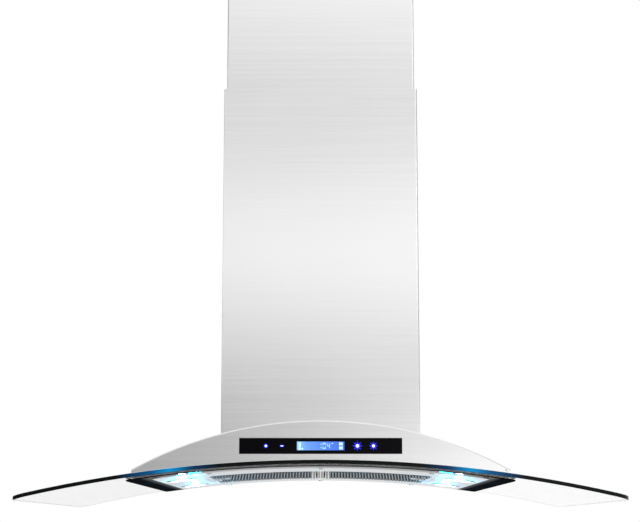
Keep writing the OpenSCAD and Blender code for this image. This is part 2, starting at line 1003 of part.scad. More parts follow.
// Gland for the mains cable, in the top of the blower box
module cable_gland() {
    color([0.15, 0.15, 0.15])
    translate([gland_x, gland_y, blower_top_z])
        difference() {
            union() {
                cylinder(h = gland_nut_t, r = gland_nut_r, $fn = 6);
                cylinder(h = gland_h, r = gland_r);
                translate([0, 0, -gland_thread])
                    cylinder(h = gland_thread, r = gland_thread_r);
            }
            translate([0, 0, -gland_thread - over])
                cylinder(h = gland_h + gland_thread + 2 * over, r = gland_bore_r);
        }
}

// ---------- Controls and electronics ----------

module control_glass() {
    color([0.02, 0.02, 0.03])
    translate([-control_w / 2 + clear, control_front, glass_z + control_z + clear])
        cube([control_w - 2 * clear, control_t, control_h - 2 * clear]);
}

module control_tray() {
    front = -body_d / 2 + body_sheet;
    color([0.1, 0.1, 0.1])
    difference() {
        translate([-control_w / 2 - tray_lip, front, glass_z + control_z - tray_lip])
            cube([control_w + 2 * tray_lip, tray_back - front, control_h + 2 * tray_lip]);
        translate([-control_w / 2 + clear, front - over, glass_z + control_z + clear])
            cube([control_w - 2 * clear, tray_back - front - tray_floor + over, control_h - 2 * clear]);
    }
}

module lcd_module() {
    color([0.2, 0.5, 0.9])
    translate([-lcd_w / 2 - lcd_border, control_front + control_t, control_mid - lcd_h / 2 - lcd_border])
        cube([lcd_w + 2 * lcd_border, lamp_module_t, lcd_h + 2 * lcd_border]);
}

module touch_icons() {
    color([0.5, 0.7, 1])
    for (x = icon_x)
        translate([x, control_front + control_t, control_mid])
            rotate([-90, 0, 0])
                cylinder(h = lamp_module_t, r = icon_r);
}

module control_board() {
    color([0.05, 0.3, 0.15])
    translate([board_side - control_w / 2, control_front + control_t + lamp_module_t,
            glass_z + control_z + board_edge])
        cube([control_w - 2 * board_side, board_t, control_h - 2 * board_edge]);
}

module power_box() {
    color("silver")
    difference() {
        translate([-power_w / 2, power_y, power_z])
            cube([power_w, power_d, power_h]);
        translate([power_sheet - power_w / 2, power_y + power_sheet, power_z + power_sheet])
            cube([power_w - 2 * power_sheet, power_d - 2 * power_sheet, power_h]);
    }
}

module power_lid() {
    color("gainsboro")
    translate([-power_w / 2, power_y, power_z + power_h])
        cube([power_w, power_d, power_sheet]);
}

module power_board() {
    color([0.05, 0.3, 0.15])
    translate([board_side - power_w / 2, power_y + board_edge, power_board_z])
        cube([power_w - 2 * board_side, power_d - 2 * board_edge, board_t]);
}

module power_capacitor() {
    color([0.85, 0.85, 0.8])
    translate([capacitor_x, power_y + power_d / 2, power_board_z + board_t + capacitor_r])
        rotate([0, 90, 0])
            cylinder(h = capacitor_len, r = capacitor_r);
}

module power_transformer() {
    color([0.3, 0.3, 0.3])
    translate([transformer_x, power_y + transformer_gap, power_board_z + board_t])
        cube([transformer_w, power_d - 2 * transformer_gap, transformer_h]);
}

// ---------- Glass, gaskets and clamps ----------

module glass_canopy() {
    color([0.85, 0.9, 0.9, 0.3])
    difference() {
        arch_plate(0, glass_t, glass_w, glass_d, glass_corner_r);
        plan_block(cutout_w, cutout_d, cutout_corner);
    }
}

module gasket_ring(top, w, d) {
    color([0.08, 0.08, 0.08])
    difference() {
        arch_plate(top, gasket_t, w, d, cutout_corner);
        plan_block(cutout_w + 2 * gasket_open, cutout_d + 2 * gasket_open, cutout_corner);
    }
}

module upper_gasket() {
    inset = 2 * (body_sheet + gasket_inset);
    gasket_ring(seat, body_w - inset, body_d - inset);
}

module lower_gasket() {
    inset = 4 * gasket_inset;
    gasket_ring(-glass_t, under_w - inset, under_d - inset);
}

module at_clamps(lift) {
    for (x = clamp_rows, y = [-clamp_y, clamp_y])
        on_arch(x, y, lift)
            children();
    for (x = [-clamp_x, clamp_x], y = clamp_sides)
        on_arch(x, y, lift)
            children();
}

module clamp_shafts(r) {
    at_clamps(panel_top - over)
        cylinder(h = seat + body_sheet - panel_top + 2 * over, r = r);
}

module clamp_screws() {
    reach = seat + body_sheet - under_top + under_t / 2;
    color("gainsboro")
    at_clamps(seat + body_sheet) {
        cylinder(h = clamp_head_t, r = clamp_head_r);
        translate([0, 0, -reach])
            cylinder(h = reach, r = clamp_r);
    }
}

module clamp_bushes() {
    color([0.9, 0.9, 0.88])
    at_clamps(under_top)
        difference() {
            cylinder(h = seat - under_top, r = clamp_bush_r);
            translate([0, 0, -over])
                cylinder(h = seat - under_top + 2 * over, r = clamp_r);
        }
}

// ---------- Underside ----------

module under_plate() {
    color([0.03, 0.03, 0.03])
    difference() {
        arch_plate(under_top, under_t, under_w, under_d, under_corner);
        plan_block(under_open_w, under_open_d, under_open_corner);
        clamp_shafts(clamp_r);
        panel_screw_shafts();
    }
}

module at_panel_screws(lift) {
    for (x = panel_screw_x, y = [-panel_screw_y, panel_screw_y])
        on_arch(x, y, lift)
            children();
}

module panel_screw_shafts() {
    at_panel_screws(panel_bottom - over)
        cylinder(h = panel_t + under_t + 2 * over, r = screw_r);
}

module panel_screws() {
    color("gainsboro")
    at_panel_screws(panel_bottom) {
        cylinder(h = panel_t + under_t / 2, r = screw_r);
        translate([0, 0, -panel_screw_head_t])
            cylinder(h = panel_screw_head_t, r = panel_screw_head_r);
    }
}

module filter_space(fit) {
    both_sides()
        translate([hinge_x, -filter_d / 2 - fit, glass_z - trim_reach])
            cube([filter_half_w + fit - hinge_x, filter_d + 2 * fit, 2 * trim_reach]);
}

// Arched steel panel round the filters, with the lamp holes
module light_panel() {
    color([0.8, 0.8, 0.8])
    difference() {
        arch_plate(panel_top, panel_t, panel_w, panel_d, panel_corner);
        filter_space(opening_fit);
        at_lamps(panel_bottom - over)
            cylinder(h = panel_t + 2 * over, r = lamp_body_r);
        panel_screw_shafts();
    }
}

// Sheet walls from the light panel up to the arched cover
module plenum_box() {
    color("silver")
    difference() {
        intersection() {
            union() {
                tube(plenum_x, plenum_y, plenum_sheet, glass_z - plenum_foot, glass_z + body_rise);
                difference() {
                    arch_sheet(panel_top + plenum_sheet, plenum_sheet,
                        2 * (plenum_x + plenum_flange), 2 * (plenum_y + plenum_flange));
                    plan_block(2 * (plenum_x - plenum_sheet), 2 * (plenum_y - plenum_sheet), 0.5);
                }
            }
            under_cover(body_sheet, body_w, body_d);
        }
        arch_space(panel_top);
        at_lamps(panel_top)
            cylinder(h = 2 * plenum_sheet, r = lamp_body_r + 1);
    }
}

// ---------- Lamps ----------

module at_lamps(lift) {
    for (x = [-lamp_x, lamp_x], y = [-lamp_y, lamp_y])
        on_arch(x, y, lift)
            children();
}

module lamp_bezels() {
    color("gainsboro")
    at_lamps(panel_bottom)
        translate([0, 0, -lamp_rim_t - lamp_seat])
            difference() {
                cylinder(h = lamp_rim_t, r = lamp_r);
                translate([0, 0, -over])
                    cylinder(h = lamp_rim_t + 2 * over, r = lamp_body_r);
            }
}

module lamp_lenses() {
    color([0.8, 0.95, 1])
    at_lamps(panel_bottom)
        translate([0, 0, lens_recess - lamp_rim_t])
            cylinder(h = lamp_rim_t, r = lamp_body_r);
}

module lamp_housings() {
    color([0.7, 0.7, 0.7])
    at_lamps(panel_bottom)
        translate([0, 0, lens_recess])
            difference() {
                cylinder(h = lamp_body_h, r = lamp_body_r);
                translate([0, 0, -over])
                    cylinder(h = lamp_body_h + over - lamp_end, r = lamp_body_r - lamp_wall);
            }
}

// ---------- Lower chimney ----------

// Square tube scribed to the arched cover, with a folded rim at its top edge
module lower_chimney() {
    rim = chimney_nest - chimney_sheet - 1;
    color([0.88, 0.88, 0.88])
    difference() {
        union() {
            tube(lower_chimney_w / 2, lower_chimney_d / 2, chimney_sheet, glass_z, chimney_top_z);
            tube(lower_in_x, lower_in_y, rim, chimney_top_z - chimney_sheet, chimney_top_z);
        }
        under_cover(-clear, lower_chimney_w + over, lower_chimney_d + over);
    }
}

// ---------- Grease filters and latches ----------

module filter_plan(inset) {
    w = filter_half_w - filter_in_x;
    translate([filter_in_x + inset, -filter_d / 2 + inset, glass_z - trim_reach])
        cube([w - 2 * inset, filter_d - 2 * inset, 2 * trim_reach]);
}

module on_latch() {
    translate([0, 0, arch_axis_z])
        rotate([0, latch_angle, 0])
            translate([0, 0, glass_r + panel_bottom])
                children();
}

module latch_pocket() {
    pocket = latch_w + latch_travel + 2 * clear;
    translate([latch_edge + clear - pocket, -latch_len / 2 - clear, -over])
        cube([pocket, latch_len + 2 * clear, filter_t + 2 * over]);
    translate([0, -tongue_len / 2 - clear, tongue_z - clear])
        cube([4 * latch_edge, tongue_len + 2 * clear, tongue_t + 2 * clear]);
}

// Rim of the filter with the pad that guides the latch, and two tabs that lie over the bar
// between the filters, each with a round bead along the line about which the filter turns
module filter_frame() {
    color([0.78, 0.78, 0.8])
    difference() {
        union() {
            intersection() {
                arch_sheet(panel_bottom + filter_t, filter_t, filters_w, filter_d);
                difference() {
                    filter_plan(0);
                    difference() {
                        filter_plan(filter_rim);
                        latch_pad();
                    }
                }
            }
            for (y = [-1, 1])
                translate([0, y * filter_d / 3 - hinge_tab_len / 2, hinge_axis_z]) {
                    translate([hinge_tab_x, 0, clear])
                        cube([filter_in_x + over, hinge_tab_len, hinge_tab_t]);
                    translate([hinge_axis_x, hinge_tab_len, 0])
                        rotate([90, 0, 0])
                            cylinder(h = hinge_tab_len, r = hinge_bead_r);
                }
        }
        on_latch()
            latch_pocket();
    }
}

module latch_pad() {
    translate([filter_half_w - latch_pad_w, -latch_pad_len / 2, glass_z - trim_reach])
        cube([latch_pad_w, latch_pad_len, 2 * trim_reach]);
}

module filter_mesh() {
    color([0.6, 0.6, 0.6])
    intersection() {
        arch_sheet(panel_bottom + filter_t - mesh_skin, filter_t - 2 * mesh_skin, filters_w, filter_d);
        difference() {
            filter_plan(filter_rim);
            latch_pad();
        }
    }
}

// Sliding latch: a grip that shows under the filter and a tongue at its outer edge
module latch() {
    tip = (filter_half_w + opening_fit - clear) - (glass_r + panel_bottom) * sin(latch_angle);
    color([0.9, 0.9, 0.9])
    on_latch()
        difference() {
            union() {
                translate([latch_edge - latch_w, -latch_len / 2, -latch_grip])
                    cube([latch_w, latch_len, filter_t + latch_grip - clear]);
                translate([0, -tongue_len / 2, tongue_z])
                    cube([tip, tongue_len, tongue_t]);
            }
            translate([latch_edge - latch_w / 2 + scoop_shift, 0, -latch_grip])
                rotate([90, 0, 0])
                    cylinder(h = latch_len - 2 * scoop_end, r = scoop_r, center = true);
        }
}

module filter_frame_right() {
    filter_frame();
}

module filter_frame_left() {
    mirror([1, 0, 0])
        filter_frame();
}

module filter_mesh_right() {
    filter_mesh();
}

module filter_mesh_left() {
    mirror([1, 0, 0])
        filter_mesh();
}

module latch_right() {
    latch();
}

module latch_left() {
    mirror([1, 0, 0])
        latch();
}

ceiling_bracket();
upper_posts();
upper_chimney();
chimney_screws();
lower_posts();
post_bolts();
post_nuts();
post_foot_screws();
top_cover();
front_panel();
rear_panel();
blower_neck();
neck_gasket();
blower_box();
blower_lid();
scroll_housing();
motor_case();
motor_bracket();
motor_stator();
motor_bearings();
duct_collar();
damper_pin();
collar_screws();
cable_gland();
motor_shaft();
motor_core();
fan_wheel_left();
fan_wheel_right();
damper_flap_left();
damper_flap_right();
control_glass();
control_tray();
lcd_module();
touch_icons();
control_board();
power_box();
power_lid();
power_board();
power_capacitor();
power_transformer();
glass_canopy();
upper_gasket();
lower_gasket();
clamp_screws();
clamp_bushes();
under_plate();
light_panel();
panel_screws();
plenum_box();
lamp_bezels();
lamp_lenses();
lamp_housings();
lower_chimney();
filter_frame_left();
filter_mesh_left();
latch_left();
filter_frame_right();
filter_mesh_right();
latch_right();
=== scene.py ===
import math

import bpy
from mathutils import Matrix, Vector


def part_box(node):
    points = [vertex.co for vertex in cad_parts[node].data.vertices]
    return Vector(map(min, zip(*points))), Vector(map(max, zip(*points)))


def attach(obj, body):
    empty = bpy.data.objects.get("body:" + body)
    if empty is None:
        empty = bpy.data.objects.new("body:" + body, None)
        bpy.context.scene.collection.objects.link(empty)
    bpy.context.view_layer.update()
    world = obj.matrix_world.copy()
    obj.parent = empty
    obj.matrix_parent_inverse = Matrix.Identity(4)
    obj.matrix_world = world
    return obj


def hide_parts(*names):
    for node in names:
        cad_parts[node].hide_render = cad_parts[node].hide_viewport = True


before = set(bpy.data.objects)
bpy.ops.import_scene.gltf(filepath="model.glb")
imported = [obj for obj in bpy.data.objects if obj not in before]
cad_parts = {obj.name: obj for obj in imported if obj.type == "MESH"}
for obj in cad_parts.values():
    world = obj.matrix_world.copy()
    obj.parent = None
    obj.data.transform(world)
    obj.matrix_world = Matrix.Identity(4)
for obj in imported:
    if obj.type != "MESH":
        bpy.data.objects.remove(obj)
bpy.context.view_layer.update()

# ---------------------------------------------------------------------------------------
# Studio. The hood hangs in a tall white room over a pale floor, which lies low so that it
# stays clear of views from below. The walls are brighter to the right and in soft bands, and
# flat steel shows them as a gradient. The camera stands in front, a little below the glass.
# ---------------------------------------------------------------------------------------
GLASS_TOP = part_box("glass_canopy")[1].z

eye_x = -0.001
eye_distance = 2.239
eye_drop = 0.105
eye_pitch = math.radians(8.11)
lens_mm = 73.9
frame_rise = 0.13

camera_data = bpy.data.cameras.new("eye")
camera_data.lens = lens_mm
camera_data.shift_y = frame_rise
camera = bpy.data.objects.new("eye", camera_data)
camera.location = (eye_x, -eye_distance, GLASS_TOP - eye_drop)
camera.rotation_euler = (math.pi / 2 + eye_pitch, 0, 0)
bpy.context.scene.collection.objects.link(camera)
bpy.context.scene.camera = camera
bpy.context.scene.view_settings.view_transform = "Standard"


class Wire:
    """A shader socket that adds Math nodes when it is used in an expression."""

    def __init__(self, tree, socket):
        self.tree = tree
        self.socket = socket

    def _maths(self, operation, first, second):
        return node(self.tree, "ShaderNodeMath", {"operation": operation}, {0: first, 1: second})

    def __add__(self, other):
        return self._maths("ADD", self, other)

    __radd__ = __add__

    def __sub__(self, other):
        return self._maths("SUBTRACT", self, other)

    def __rsub__(self, other):
        return self._maths("SUBTRACT", other, self)

    def __mul__(self, other):
        return self._maths("MULTIPLY", self, other)

    __rmul__ = __mul__

    def __truediv__(self, other):
        return self._maths("DIVIDE", self, other)

    def __rtruediv__(self, other):
        return self._maths("DIVIDE", other, self)

    def __gt__(self, other):
        return self._maths("GREATER_THAN", self, other)

    def __lt__(self, other):
        return self._maths("LESS_THAN", self, other)


def node(tree, kind, settings=None, sockets=None, out=0):
    """Adds one node, with its settings first and then its sockets, and returns an output."""
    made = tree.nodes.new(kind)
    for key, value in (settings or {}).items():
        if key == "stops":
            ramp = made.color_ramp
            while len(ramp.elements) < len(value):
                ramp.elements.new(1.0)
            for element, (place, colour) in zip(ramp.elements, value):
                element.position = place
                element.color = (*colour, 1.0)
        else:
            setattr(made, key, value)
    for key, value in (sockets or {}).items():
        if isinstance(value, Wire):
            tree.links.new(value.socket, made.inputs[key])
        else:
            made.inputs[key].default_value = value
    return Wire(tree, made.outputs[out])


def blend_colour(tree, factor, first, second):
    """Mixes two colours by a factor from 0 to 1."""
    return node(tree, "ShaderNodeMix", {"data_type": "RGBA"}, {0: factor, 6: first, 7: second}, 2)


def stretch(tree, place, scale):
    """A position multiplied by a vector, for grain that is longer one way than another."""
    return node(tree, "ShaderNodeVectorMath", {"operation": "MULTIPLY"}, {0: place, 1: scale})


def rgba(red, green, blue):
    return (red, green, blue, 1.0)


world = bpy.data.worlds.new("room")
world.use_nodes = True
bpy.context.scene.world = world
room = world.node_tree
room.nodes.clear()
way = node(room, "ShaderNodeTexCoord")
sideways = node(room, "ShaderNodeSeparateXYZ", None, {0: way}, 0) * 0.5 + 0.5
upward = node(room, "ShaderNodeSeparateXYZ", None, {0: way}, 2) * 0.5 + 0.5


def greys(*stops):
    """The settings of a ramp through greys, from places and tones."""
    return {"stops": [(place, (grey, grey, grey)) for place, grey in stops]}


# Bands by height: the floor's side, a dim band level with the body, a bright one above it
wall_tone = node(room, "ShaderNodeValToRGB", greys(
    (0.0, 1.0), (0.49, 1.0), (0.515, 0.6), (0.545, 0.38), (0.605, 1.25), (0.655, 0.56),
    (0.712, 1.15), (1.0, 0.95)), {0: upward})
# Left to right, strongly in the dim band and gently elsewhere
low_sides = node(room, "ShaderNodeValToRGB", greys(
    (0.4, 0.16), (0.433, 0.3), (0.463, 0.66), (0.5, 1.2), (0.53, 1.75), (0.58, 2.6)),
    {0: sideways})
high_sides = node(room, "ShaderNodeValToRGB", greys(
    (0.2, 0.4), (0.33, 0.92), (0.457, 0.94), (0.5, 1.0), (0.543, 1.05), (0.66, 0.97), (0.8, 0.3)),
    {0: sideways})
low_band = node(room, "ShaderNodeValToRGB", greys(
    (0.49, 0.0), (0.51, 1.0), (0.535, 1.0), (0.551, 0.0)), {0: upward})
side_tone = blend_colour(room, low_band, high_sides, low_sides)
shade = node(room, "ShaderNodeMix", {"data_type": "RGBA", "blend_type": "MULTIPLY"},
             {0: 1.0, 6: wall_tone, 7: side_tone}, 2)
# An eye that looks past the hood, or through its glass, sees plain white
seen = node(room, "ShaderNodeLightPath", out=0) + node(room, "ShaderNodeLightPath", out=6)
backdrop = blend_colour(room, seen, shade, rgba(1.0, 1.0, 1.0))
surround = node(room, "ShaderNodeBackground", None, {0: backdrop, 1: 1.0})
sky = room.nodes.new("ShaderNodeOutputWorld")
room.links.new(surround.socket, sky.inputs[0])


def softbox(name, place, aim, size, watts):
    data = bpy.data.lights.new(name, "AREA")
    data.shape = "RECTANGLE"
    data.size, data.size_y = size
    data.energy = watts
    box = bpy.data.objects.new(name, data)
    box.location = place
    box.rotation_euler = (Vector(aim) - Vector(place)).to_track_quat("-Z", "Y").to_euler()
    bpy.context.scene.collection.objects.link(box)


softbox("key", place=(2.2, -2.6, GLASS_TOP + 1.4), aim=(0, 0, GLASS_TOP + 0.3),
        size=(1.6, 1.6), watts=26)
softbox("fill", place=(-2.6, -2.2, GLASS_TOP + 0.9), aim=(0, 0, GLASS_TOP + 0.2),
        size=(1.4, 1.8), watts=9)

floor_drop = 3.2
floor_half = 7.0
floor_mesh = bpy.data.meshes.new("floor")
floor_mesh.from_pydata([(x * floor_half, y * floor_half, GLASS_TOP - floor_drop)
                        for x, y in ((-1, -1), (1, -1), (1, 1), (-1, 1))], [], [(0, 1, 2, 3)])
floor = bpy.data.objects.new("floor", floor_mesh)
bpy.context.scene.collection.objects.link(floor)


class Finish:
    """One material: a Principled shader whose sockets take numbers, colours or wires."""

    def __init__(self, name, **sockets):
        self.material = bpy.data.materials.new(name)
        self.material.use_nodes = True
        self.tree = self.material.node_tree
        self.tree.nodes.clear()
        self.shader = self.tree.nodes.new("ShaderNodeBsdfPrincipled")
        self.output = self.tree.nodes.new("ShaderNodeOutputMaterial")
        self.tree.links.new(self.shader.outputs[0], self.output.inputs[0])
        self.place = self.node("ShaderNodeTexCoord", out=3)
        self.set(**sockets)

    def node(self, kind, settings=None, sockets=None, out=0):
        return node(self.tree, kind, settings, sockets, out)

    def set(self, **sockets):
        for key, value in sockets.items():
            socket = self.shader.inputs[key.replace("_", " ")]
            if isinstance(value, Wire):
                self.tree.links.new(value.socket, socket)
            else:
                socket.default_value = value

    def along(self, axis):
        """One coordinate of the place on the part: 0 across, 1 deep or 2 up."""
        return self.node("ShaderNodeSeparateXYZ", None, {0: self.place}, axis)

    def off_centre(self, axis):
        """The distance from the hood's middle along one axis."""
        return self.node("ShaderNodeMath", {"operation": "ABSOLUTE"}, {0: self.along(axis)})

    def noise(self, scale, detail=2.0, place=None, rough=0.5):
        return self.node("ShaderNodeTexNoise", {"noise_dimensions": "3D"},
                         {"Vector": place or self.place, "Scale": scale, "Detail": detail,
                          "Roughness": rough})

    def mix(self, factor, first, second):
        return blend_colour(self.tree, factor, first, second)

    def bump(self, height, strength, distance):
        self.set(Normal=self.node("ShaderNodeBump", None, {
            "Height": height, "Strength": strength, "Distance": distance}))


floor_paint = Finish("floor_paint", Roughness=0.7)
speckle = floor_paint.noise(scale=3.0)
floor_paint.set(Base_Color=floor_paint.mix(speckle, rgba(0.82, 0.82, 0.81), rgba(0.88, 0.88, 0.87)))
floor_mesh.materials.append(floor_paint.material)


def dress(finish, *names):
    """Gives CAD nodes a finish by putting it in their material slots."""
    for name in names:
        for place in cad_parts[name].material_slots:
            place.material = finish.material


def make_piece(name, points, faces, finishes, body, slot, replaced=()):
    """A new mesh that rides on a body; each face comes with the number of its finish."""
    mesh = bpy.data.meshes.new(name)
    mesh.from_pydata([tuple(p) for p in points], [], [f[0] for f in faces])
    for finish in finishes:
        mesh.materials.append(finish.material)
    for polygon, face in zip(mesh.polygons, faces):
        polygon.material_index = face[1]
        polygon.use_smooth = False
    mesh.validate()
    piece = bpy.data.objects.new(name, mesh)
    bpy.context.scene.collection.objects.link(piece)
    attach(piece, body)
    if replaced:
        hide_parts(*replaced)
    return piece


# ---------------------------------------------------------------------------------------
# Ceiling bracket and posts. Folded and punched steel with bright zinc plating; the four
# upper posts are welded under the bracket and the lower ones bolt through their slots.
# The same plating is on the motor's strap, the electronics box and, brighter, the screws.
# ---------------------------------------------------------------------------------------
def zinc_plate(name, colour, roughness):
    """Bright zinc with cloudy patches and faint streaks."""
    plate = Finish(name, Metallic=1.0)
    cloud = plate.noise(scale=38.0, detail=3.0)
    upright = stretch(plate.tree, plate.place, (3.0, 3.0, 40.0))
    streak = plate.noise(9.0, 2.0, upright)
    dull = tuple(0.82 * c for c in colour)
    plate.set(Base_Color=plate.mix(cloud, rgba(*dull), rgba(*colour)),
              Roughness=roughness - 0.08 + cloud * 0.1 + streak * 0.08)
    plate.bump(cloud, strength=0.08, distance=0.0004)
    return plate


frame_zinc = zinc_plate("frame_zinc", (0.66, 0.67, 0.67), roughness=0.38)
screw_zinc = zinc_plate("screw_zinc", (0.78, 0.78, 0.75), roughness=0.26)
dress(frame_zinc, "ceiling_bracket", "upper_posts", "lower_posts", "motor_bracket",
      "power_box", "power_lid")
dress(screw_zinc, "chimney_screws", "post_bolts", "post_nuts", "post_foot_screws",
      "collar_screws", "clamp_screws", "panel_screws")


# ---------------------------------------------------------------------------------------
# Chimneys. Two tubes of stainless sheet with bent corners, brushed round their girth.
# The upper one is screwed to the ceiling bracket; the lower one slides over it, has a
# folded rim at its top edge and stands on the body, cut to the body's arch.
# ---------------------------------------------------------------------------------------
def brushed_steel(name, tone, roughness, lay):
    """Stainless sheet brushed along the axes where lay is small."""
    steel = Finish(name, Metallic=1.0, Anisotropic=0.35)
    wide_lay = tuple(0.16 * c for c in lay)
    lines = steel.noise(1.0, 3.0, stretch(steel.tree, steel.place, lay), rough=0.65)
    broad = steel.noise(1.0, 2.0, stretch(steel.tree, steel.place, wide_lay))
    touch = steel.noise(scale=7.0, detail=2.0)
    grain = lines * 0.65 + broad * 0.35
    dark = tuple(0.9 * t for t in tone)
    light = tuple(min(1.0, 1.05 * t) for t in tone)
    steel.set(Base_Color=steel.mix(grain, rgba(*dark), rgba(*light)),
              Roughness=roughness - 0.04 + grain * 0.08 + touch * 0.03)
    steel.bump(grain, strength=0.08, distance=0.0001)
    return steel


chimney_brush = (5.0, 5.0, 1100.0)
chimney_steel = brushed_steel("chimney_steel", (0.93, 0.93, 0.93), roughness=0.18,
                              lay=chimney_brush)

corner_bend = 0.0025
least_bend = 0.0002
corner_steps = 5
side_steps = 20


def plan_outline(half_x, half_y, bend):
    """Points round a rectangle with rounded corners, anticlockwise from the front left."""
    bend = max(bend, least_bend)
    outline = []
    corners = ((-1, -1, 180), (1, -1, 270), (1, 1, 0), (-1, 1, 90))
    for sx, sy, start in corners:
        centre = Vector((sx * (half_x - bend), sy * (half_y - bend)))
        for step in range(corner_steps + 1):
            angle = math.radians(start + 90 * step / corner_steps)
            outline.append(centre + bend * Vector((math.cos(angle), math.sin(angle))))
    filled = []
    for first, second in zip(outline, outline[1:] + outline[:1]):
        filled.append(first)
        if (second - first).length > 4 * bend:
            filled.extend(first.lerp(second, i / side_steps) for i in range(1, side_steps))
    return filled


def rings_to_faces(count, rings, closed_loop=True, wrap=False):
    """Quads between rings of equal length, numbered one ring after another."""
    faces = []
    last = count if closed_loop else count - 1
    for ring in range(rings if wrap else rings - 1):
        low, high = ring * count, (ring + 1) % rings * count
        for i in range(last):
            j = (i + 1) % count
            faces.append((low + i, low + j, high + j, high + i))
    return faces


def sheet_tube(name, half_x, half_y, wall, foot, top, rim, finish, body, node_name):
    """A closed thin-walled tube; foot gives the bottom edge's height at a point."""
    crease = wall / 2
    sections = [(0.0, foot, 0.0), (0.0, top, -crease), (crease * 0.3, top, -crease * 0.3),
                (crease, top, 0.0), (wall + rim, top, 0.0), (wall + rim, top, -wall)]
    if rim:
        sections.append((wall, top, -wall))
    sections.append((wall, foot, 0.0))
    points = []
    for inset, level, lift in sections:
        for p in plan_outline(half_x - inset, half_y - inset, corner_bend - inset):
            z = level(p.x) if callable(level) else level
            points.append((p.x, p.y, z + lift))
    count = len(points) // len(sections)
    faces = [(face, 0) for face in rings_to_faces(count, len(sections), wrap=True)]
    make_piece(name, points, faces, [finish], body, "chimney_steel", [node_name])


GLASS_RADIUS = 1.980
ARCH_AXIS = GLASS_TOP - GLASS_RADIUS
body_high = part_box("top_cover")[1]
BODY_HALF_W = body_high.x
BODY_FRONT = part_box("front_panel")[0].y
BODY_CROWN = body_high.z
body_end_rise = 0.0065        # of the body's ends above the glass
glass_sag = GLASS_RADIUS - math.sqrt(GLASS_RADIUS**2 - BODY_HALF_W**2)
body_sag = BODY_CROWN - GLASS_TOP - body_end_rise + glass_sag
BODY_RADIUS = (BODY_HALF_W**2 + body_sag**2) / (2 * body_sag)
BODY_AXIS = BODY_CROWN - BODY_RADIUS


def arch_height(x, lift=0.0):
    """Height of a sheet that follows the glass, lift above the glass's top face."""
    return ARCH_AXIS + math.sqrt((GLASS_RADIUS + lift)**2 - x * x)


def cover_height(x, lift=0.0):
    """Height of the body's arched top."""
    return BODY_AXIS + math.sqrt((BODY_RADIUS + lift)**2 - x * x)


upper_low, upper_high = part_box("upper_chimney")
lower_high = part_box("lower_chimney")[1]
chimney_wall = 0.0008
rim_fold = 0.0022
foot_gap = 0.0003
sheet_tube("upper_chimney_skin", upper_high.x, upper_high.y, chimney_wall, upper_low.z,
           upper_high.z, 0.0, chimney_steel, "ceiling_mount", "upper_chimney")
sheet_tube("lower_chimney_skin", lower_high.x, lower_high.y, chimney_wall,
           lambda x: cover_height(x, foot_gap), lower_high.z, rim_fold, chimney_steel,
           "lower_cover", "lower_chimney")


# ---------------------------------------------------------------------------------------
# Blower. The box, scroll, neck, plenum walls and duct collar are zinc-coated sheet with a
# faint spangle; the motor is a die-cast case with a copper winding, and turns two wheels
# of pressed aluminium vanes. Thin aluminium flaps close the collar by their own weight.
# ---------------------------------------------------------------------------------------
spangled_sheet = Finish("spangled_sheet", Metallic=1.0)
spangle = spangled_sheet.node("ShaderNodeTexVoronoi", {"feature": "F1"},
                              {"Vector": spangled_sheet.place, "Scale": 110.0}, 1)
spangle_tone = spangled_sheet.node("ShaderNodeRGBToBW", None, {0: spangle})
spangled_sheet.set(
    Base_Color=spangled_sheet.mix(spangle_tone, rgba(0.5, 0.52, 0.54), rgba(0.66, 0.68, 0.7)),
    Roughness=0.3 + spangle_tone * 0.16)
dress(spangled_sheet, "blower_neck", "blower_box", "blower_lid", "scroll_housing", "duct_collar",
      "plenum_box")


def cast_metal(name, colour, roughness, grain):
    """Cast, drawn or turned metal with a fine even grain."""
    cast = Finish(name, Metallic=1.0)
    texture = cast.noise(scale=grain, detail=4.0)
    cast.set(Base_Color=cast.mix(texture, rgba(*(0.85 * c for c in colour)), rgba(*colour)),
             Roughness=roughness - 0.1 + texture * 0.2)
    cast.bump(texture, strength=0.25, distance=0.0003)
    return cast


dress(cast_metal("motor_casting", (0.6, 0.61, 0.63), roughness=0.5, grain=900.0),
      "motor_case", "lamp_housings")
dress(cast_metal("winding_copper", (0.75, 0.36, 0.18), roughness=0.4, grain=600.0), "motor_stator")
dress(cast_metal("motor_iron", (0.32, 0.32, 0.34), roughness=0.55, grain=500.0), "motor_core",
      "power_transformer")
dress(cast_metal("ground_steel", (0.72, 0.72, 0.74), roughness=0.22, grain=1500.0), "motor_shaft",
      "motor_bearings", "damper_pin")
vane_aluminium = brushed_steel("vane_aluminium", (0.74, 0.76, 0.79), roughness=0.38,
                               lay=(300.0, 60.0, 60.0))
dress(vane_aluminium, "fan_wheel_left", "fan_wheel_right")
flap_aluminium = brushed_steel("flap_aluminium", (0.8, 0.8, 0.82), roughness=0.36,
                               lay=(40.0, 600.0, 40.0))
dress(flap_aluminium, "damper_flap_left", "damper_flap_right")


def moulded(name, colour, roughness, grain=1400.0):
    """Moulded plastic or foam rubber with a fine surface texture."""
    plastic = Finish(name, Metallic=0.0)
    texture = plastic.noise(scale=grain, detail=3.0)
    worn = plastic.noise(scale=25.0, detail=2.0)
    pale = tuple(min(1.0, c * 1.25 + 0.01) for c in colour)
    plastic.set(Base_Color=plastic.mix(worn, rgba(*colour), rgba(*pale)),
                Roughness=roughness - 0.06 + texture * 0.12)
    plastic.bump(texture, strength=0.15, distance=0.0002)
    return plastic


dress(moulded("foam_rubber", (0.02, 0.02, 0.02), roughness=0.8, grain=500.0),
      "neck_gasket", "upper_gasket")
dress(moulded("gland_nylon", (0.025, 0.025, 0.027), roughness=0.5), "cable_gland")
dress(moulded("natural_nylon", (0.75, 0.75, 0.7), roughness=0.45), "clamp_bushes")


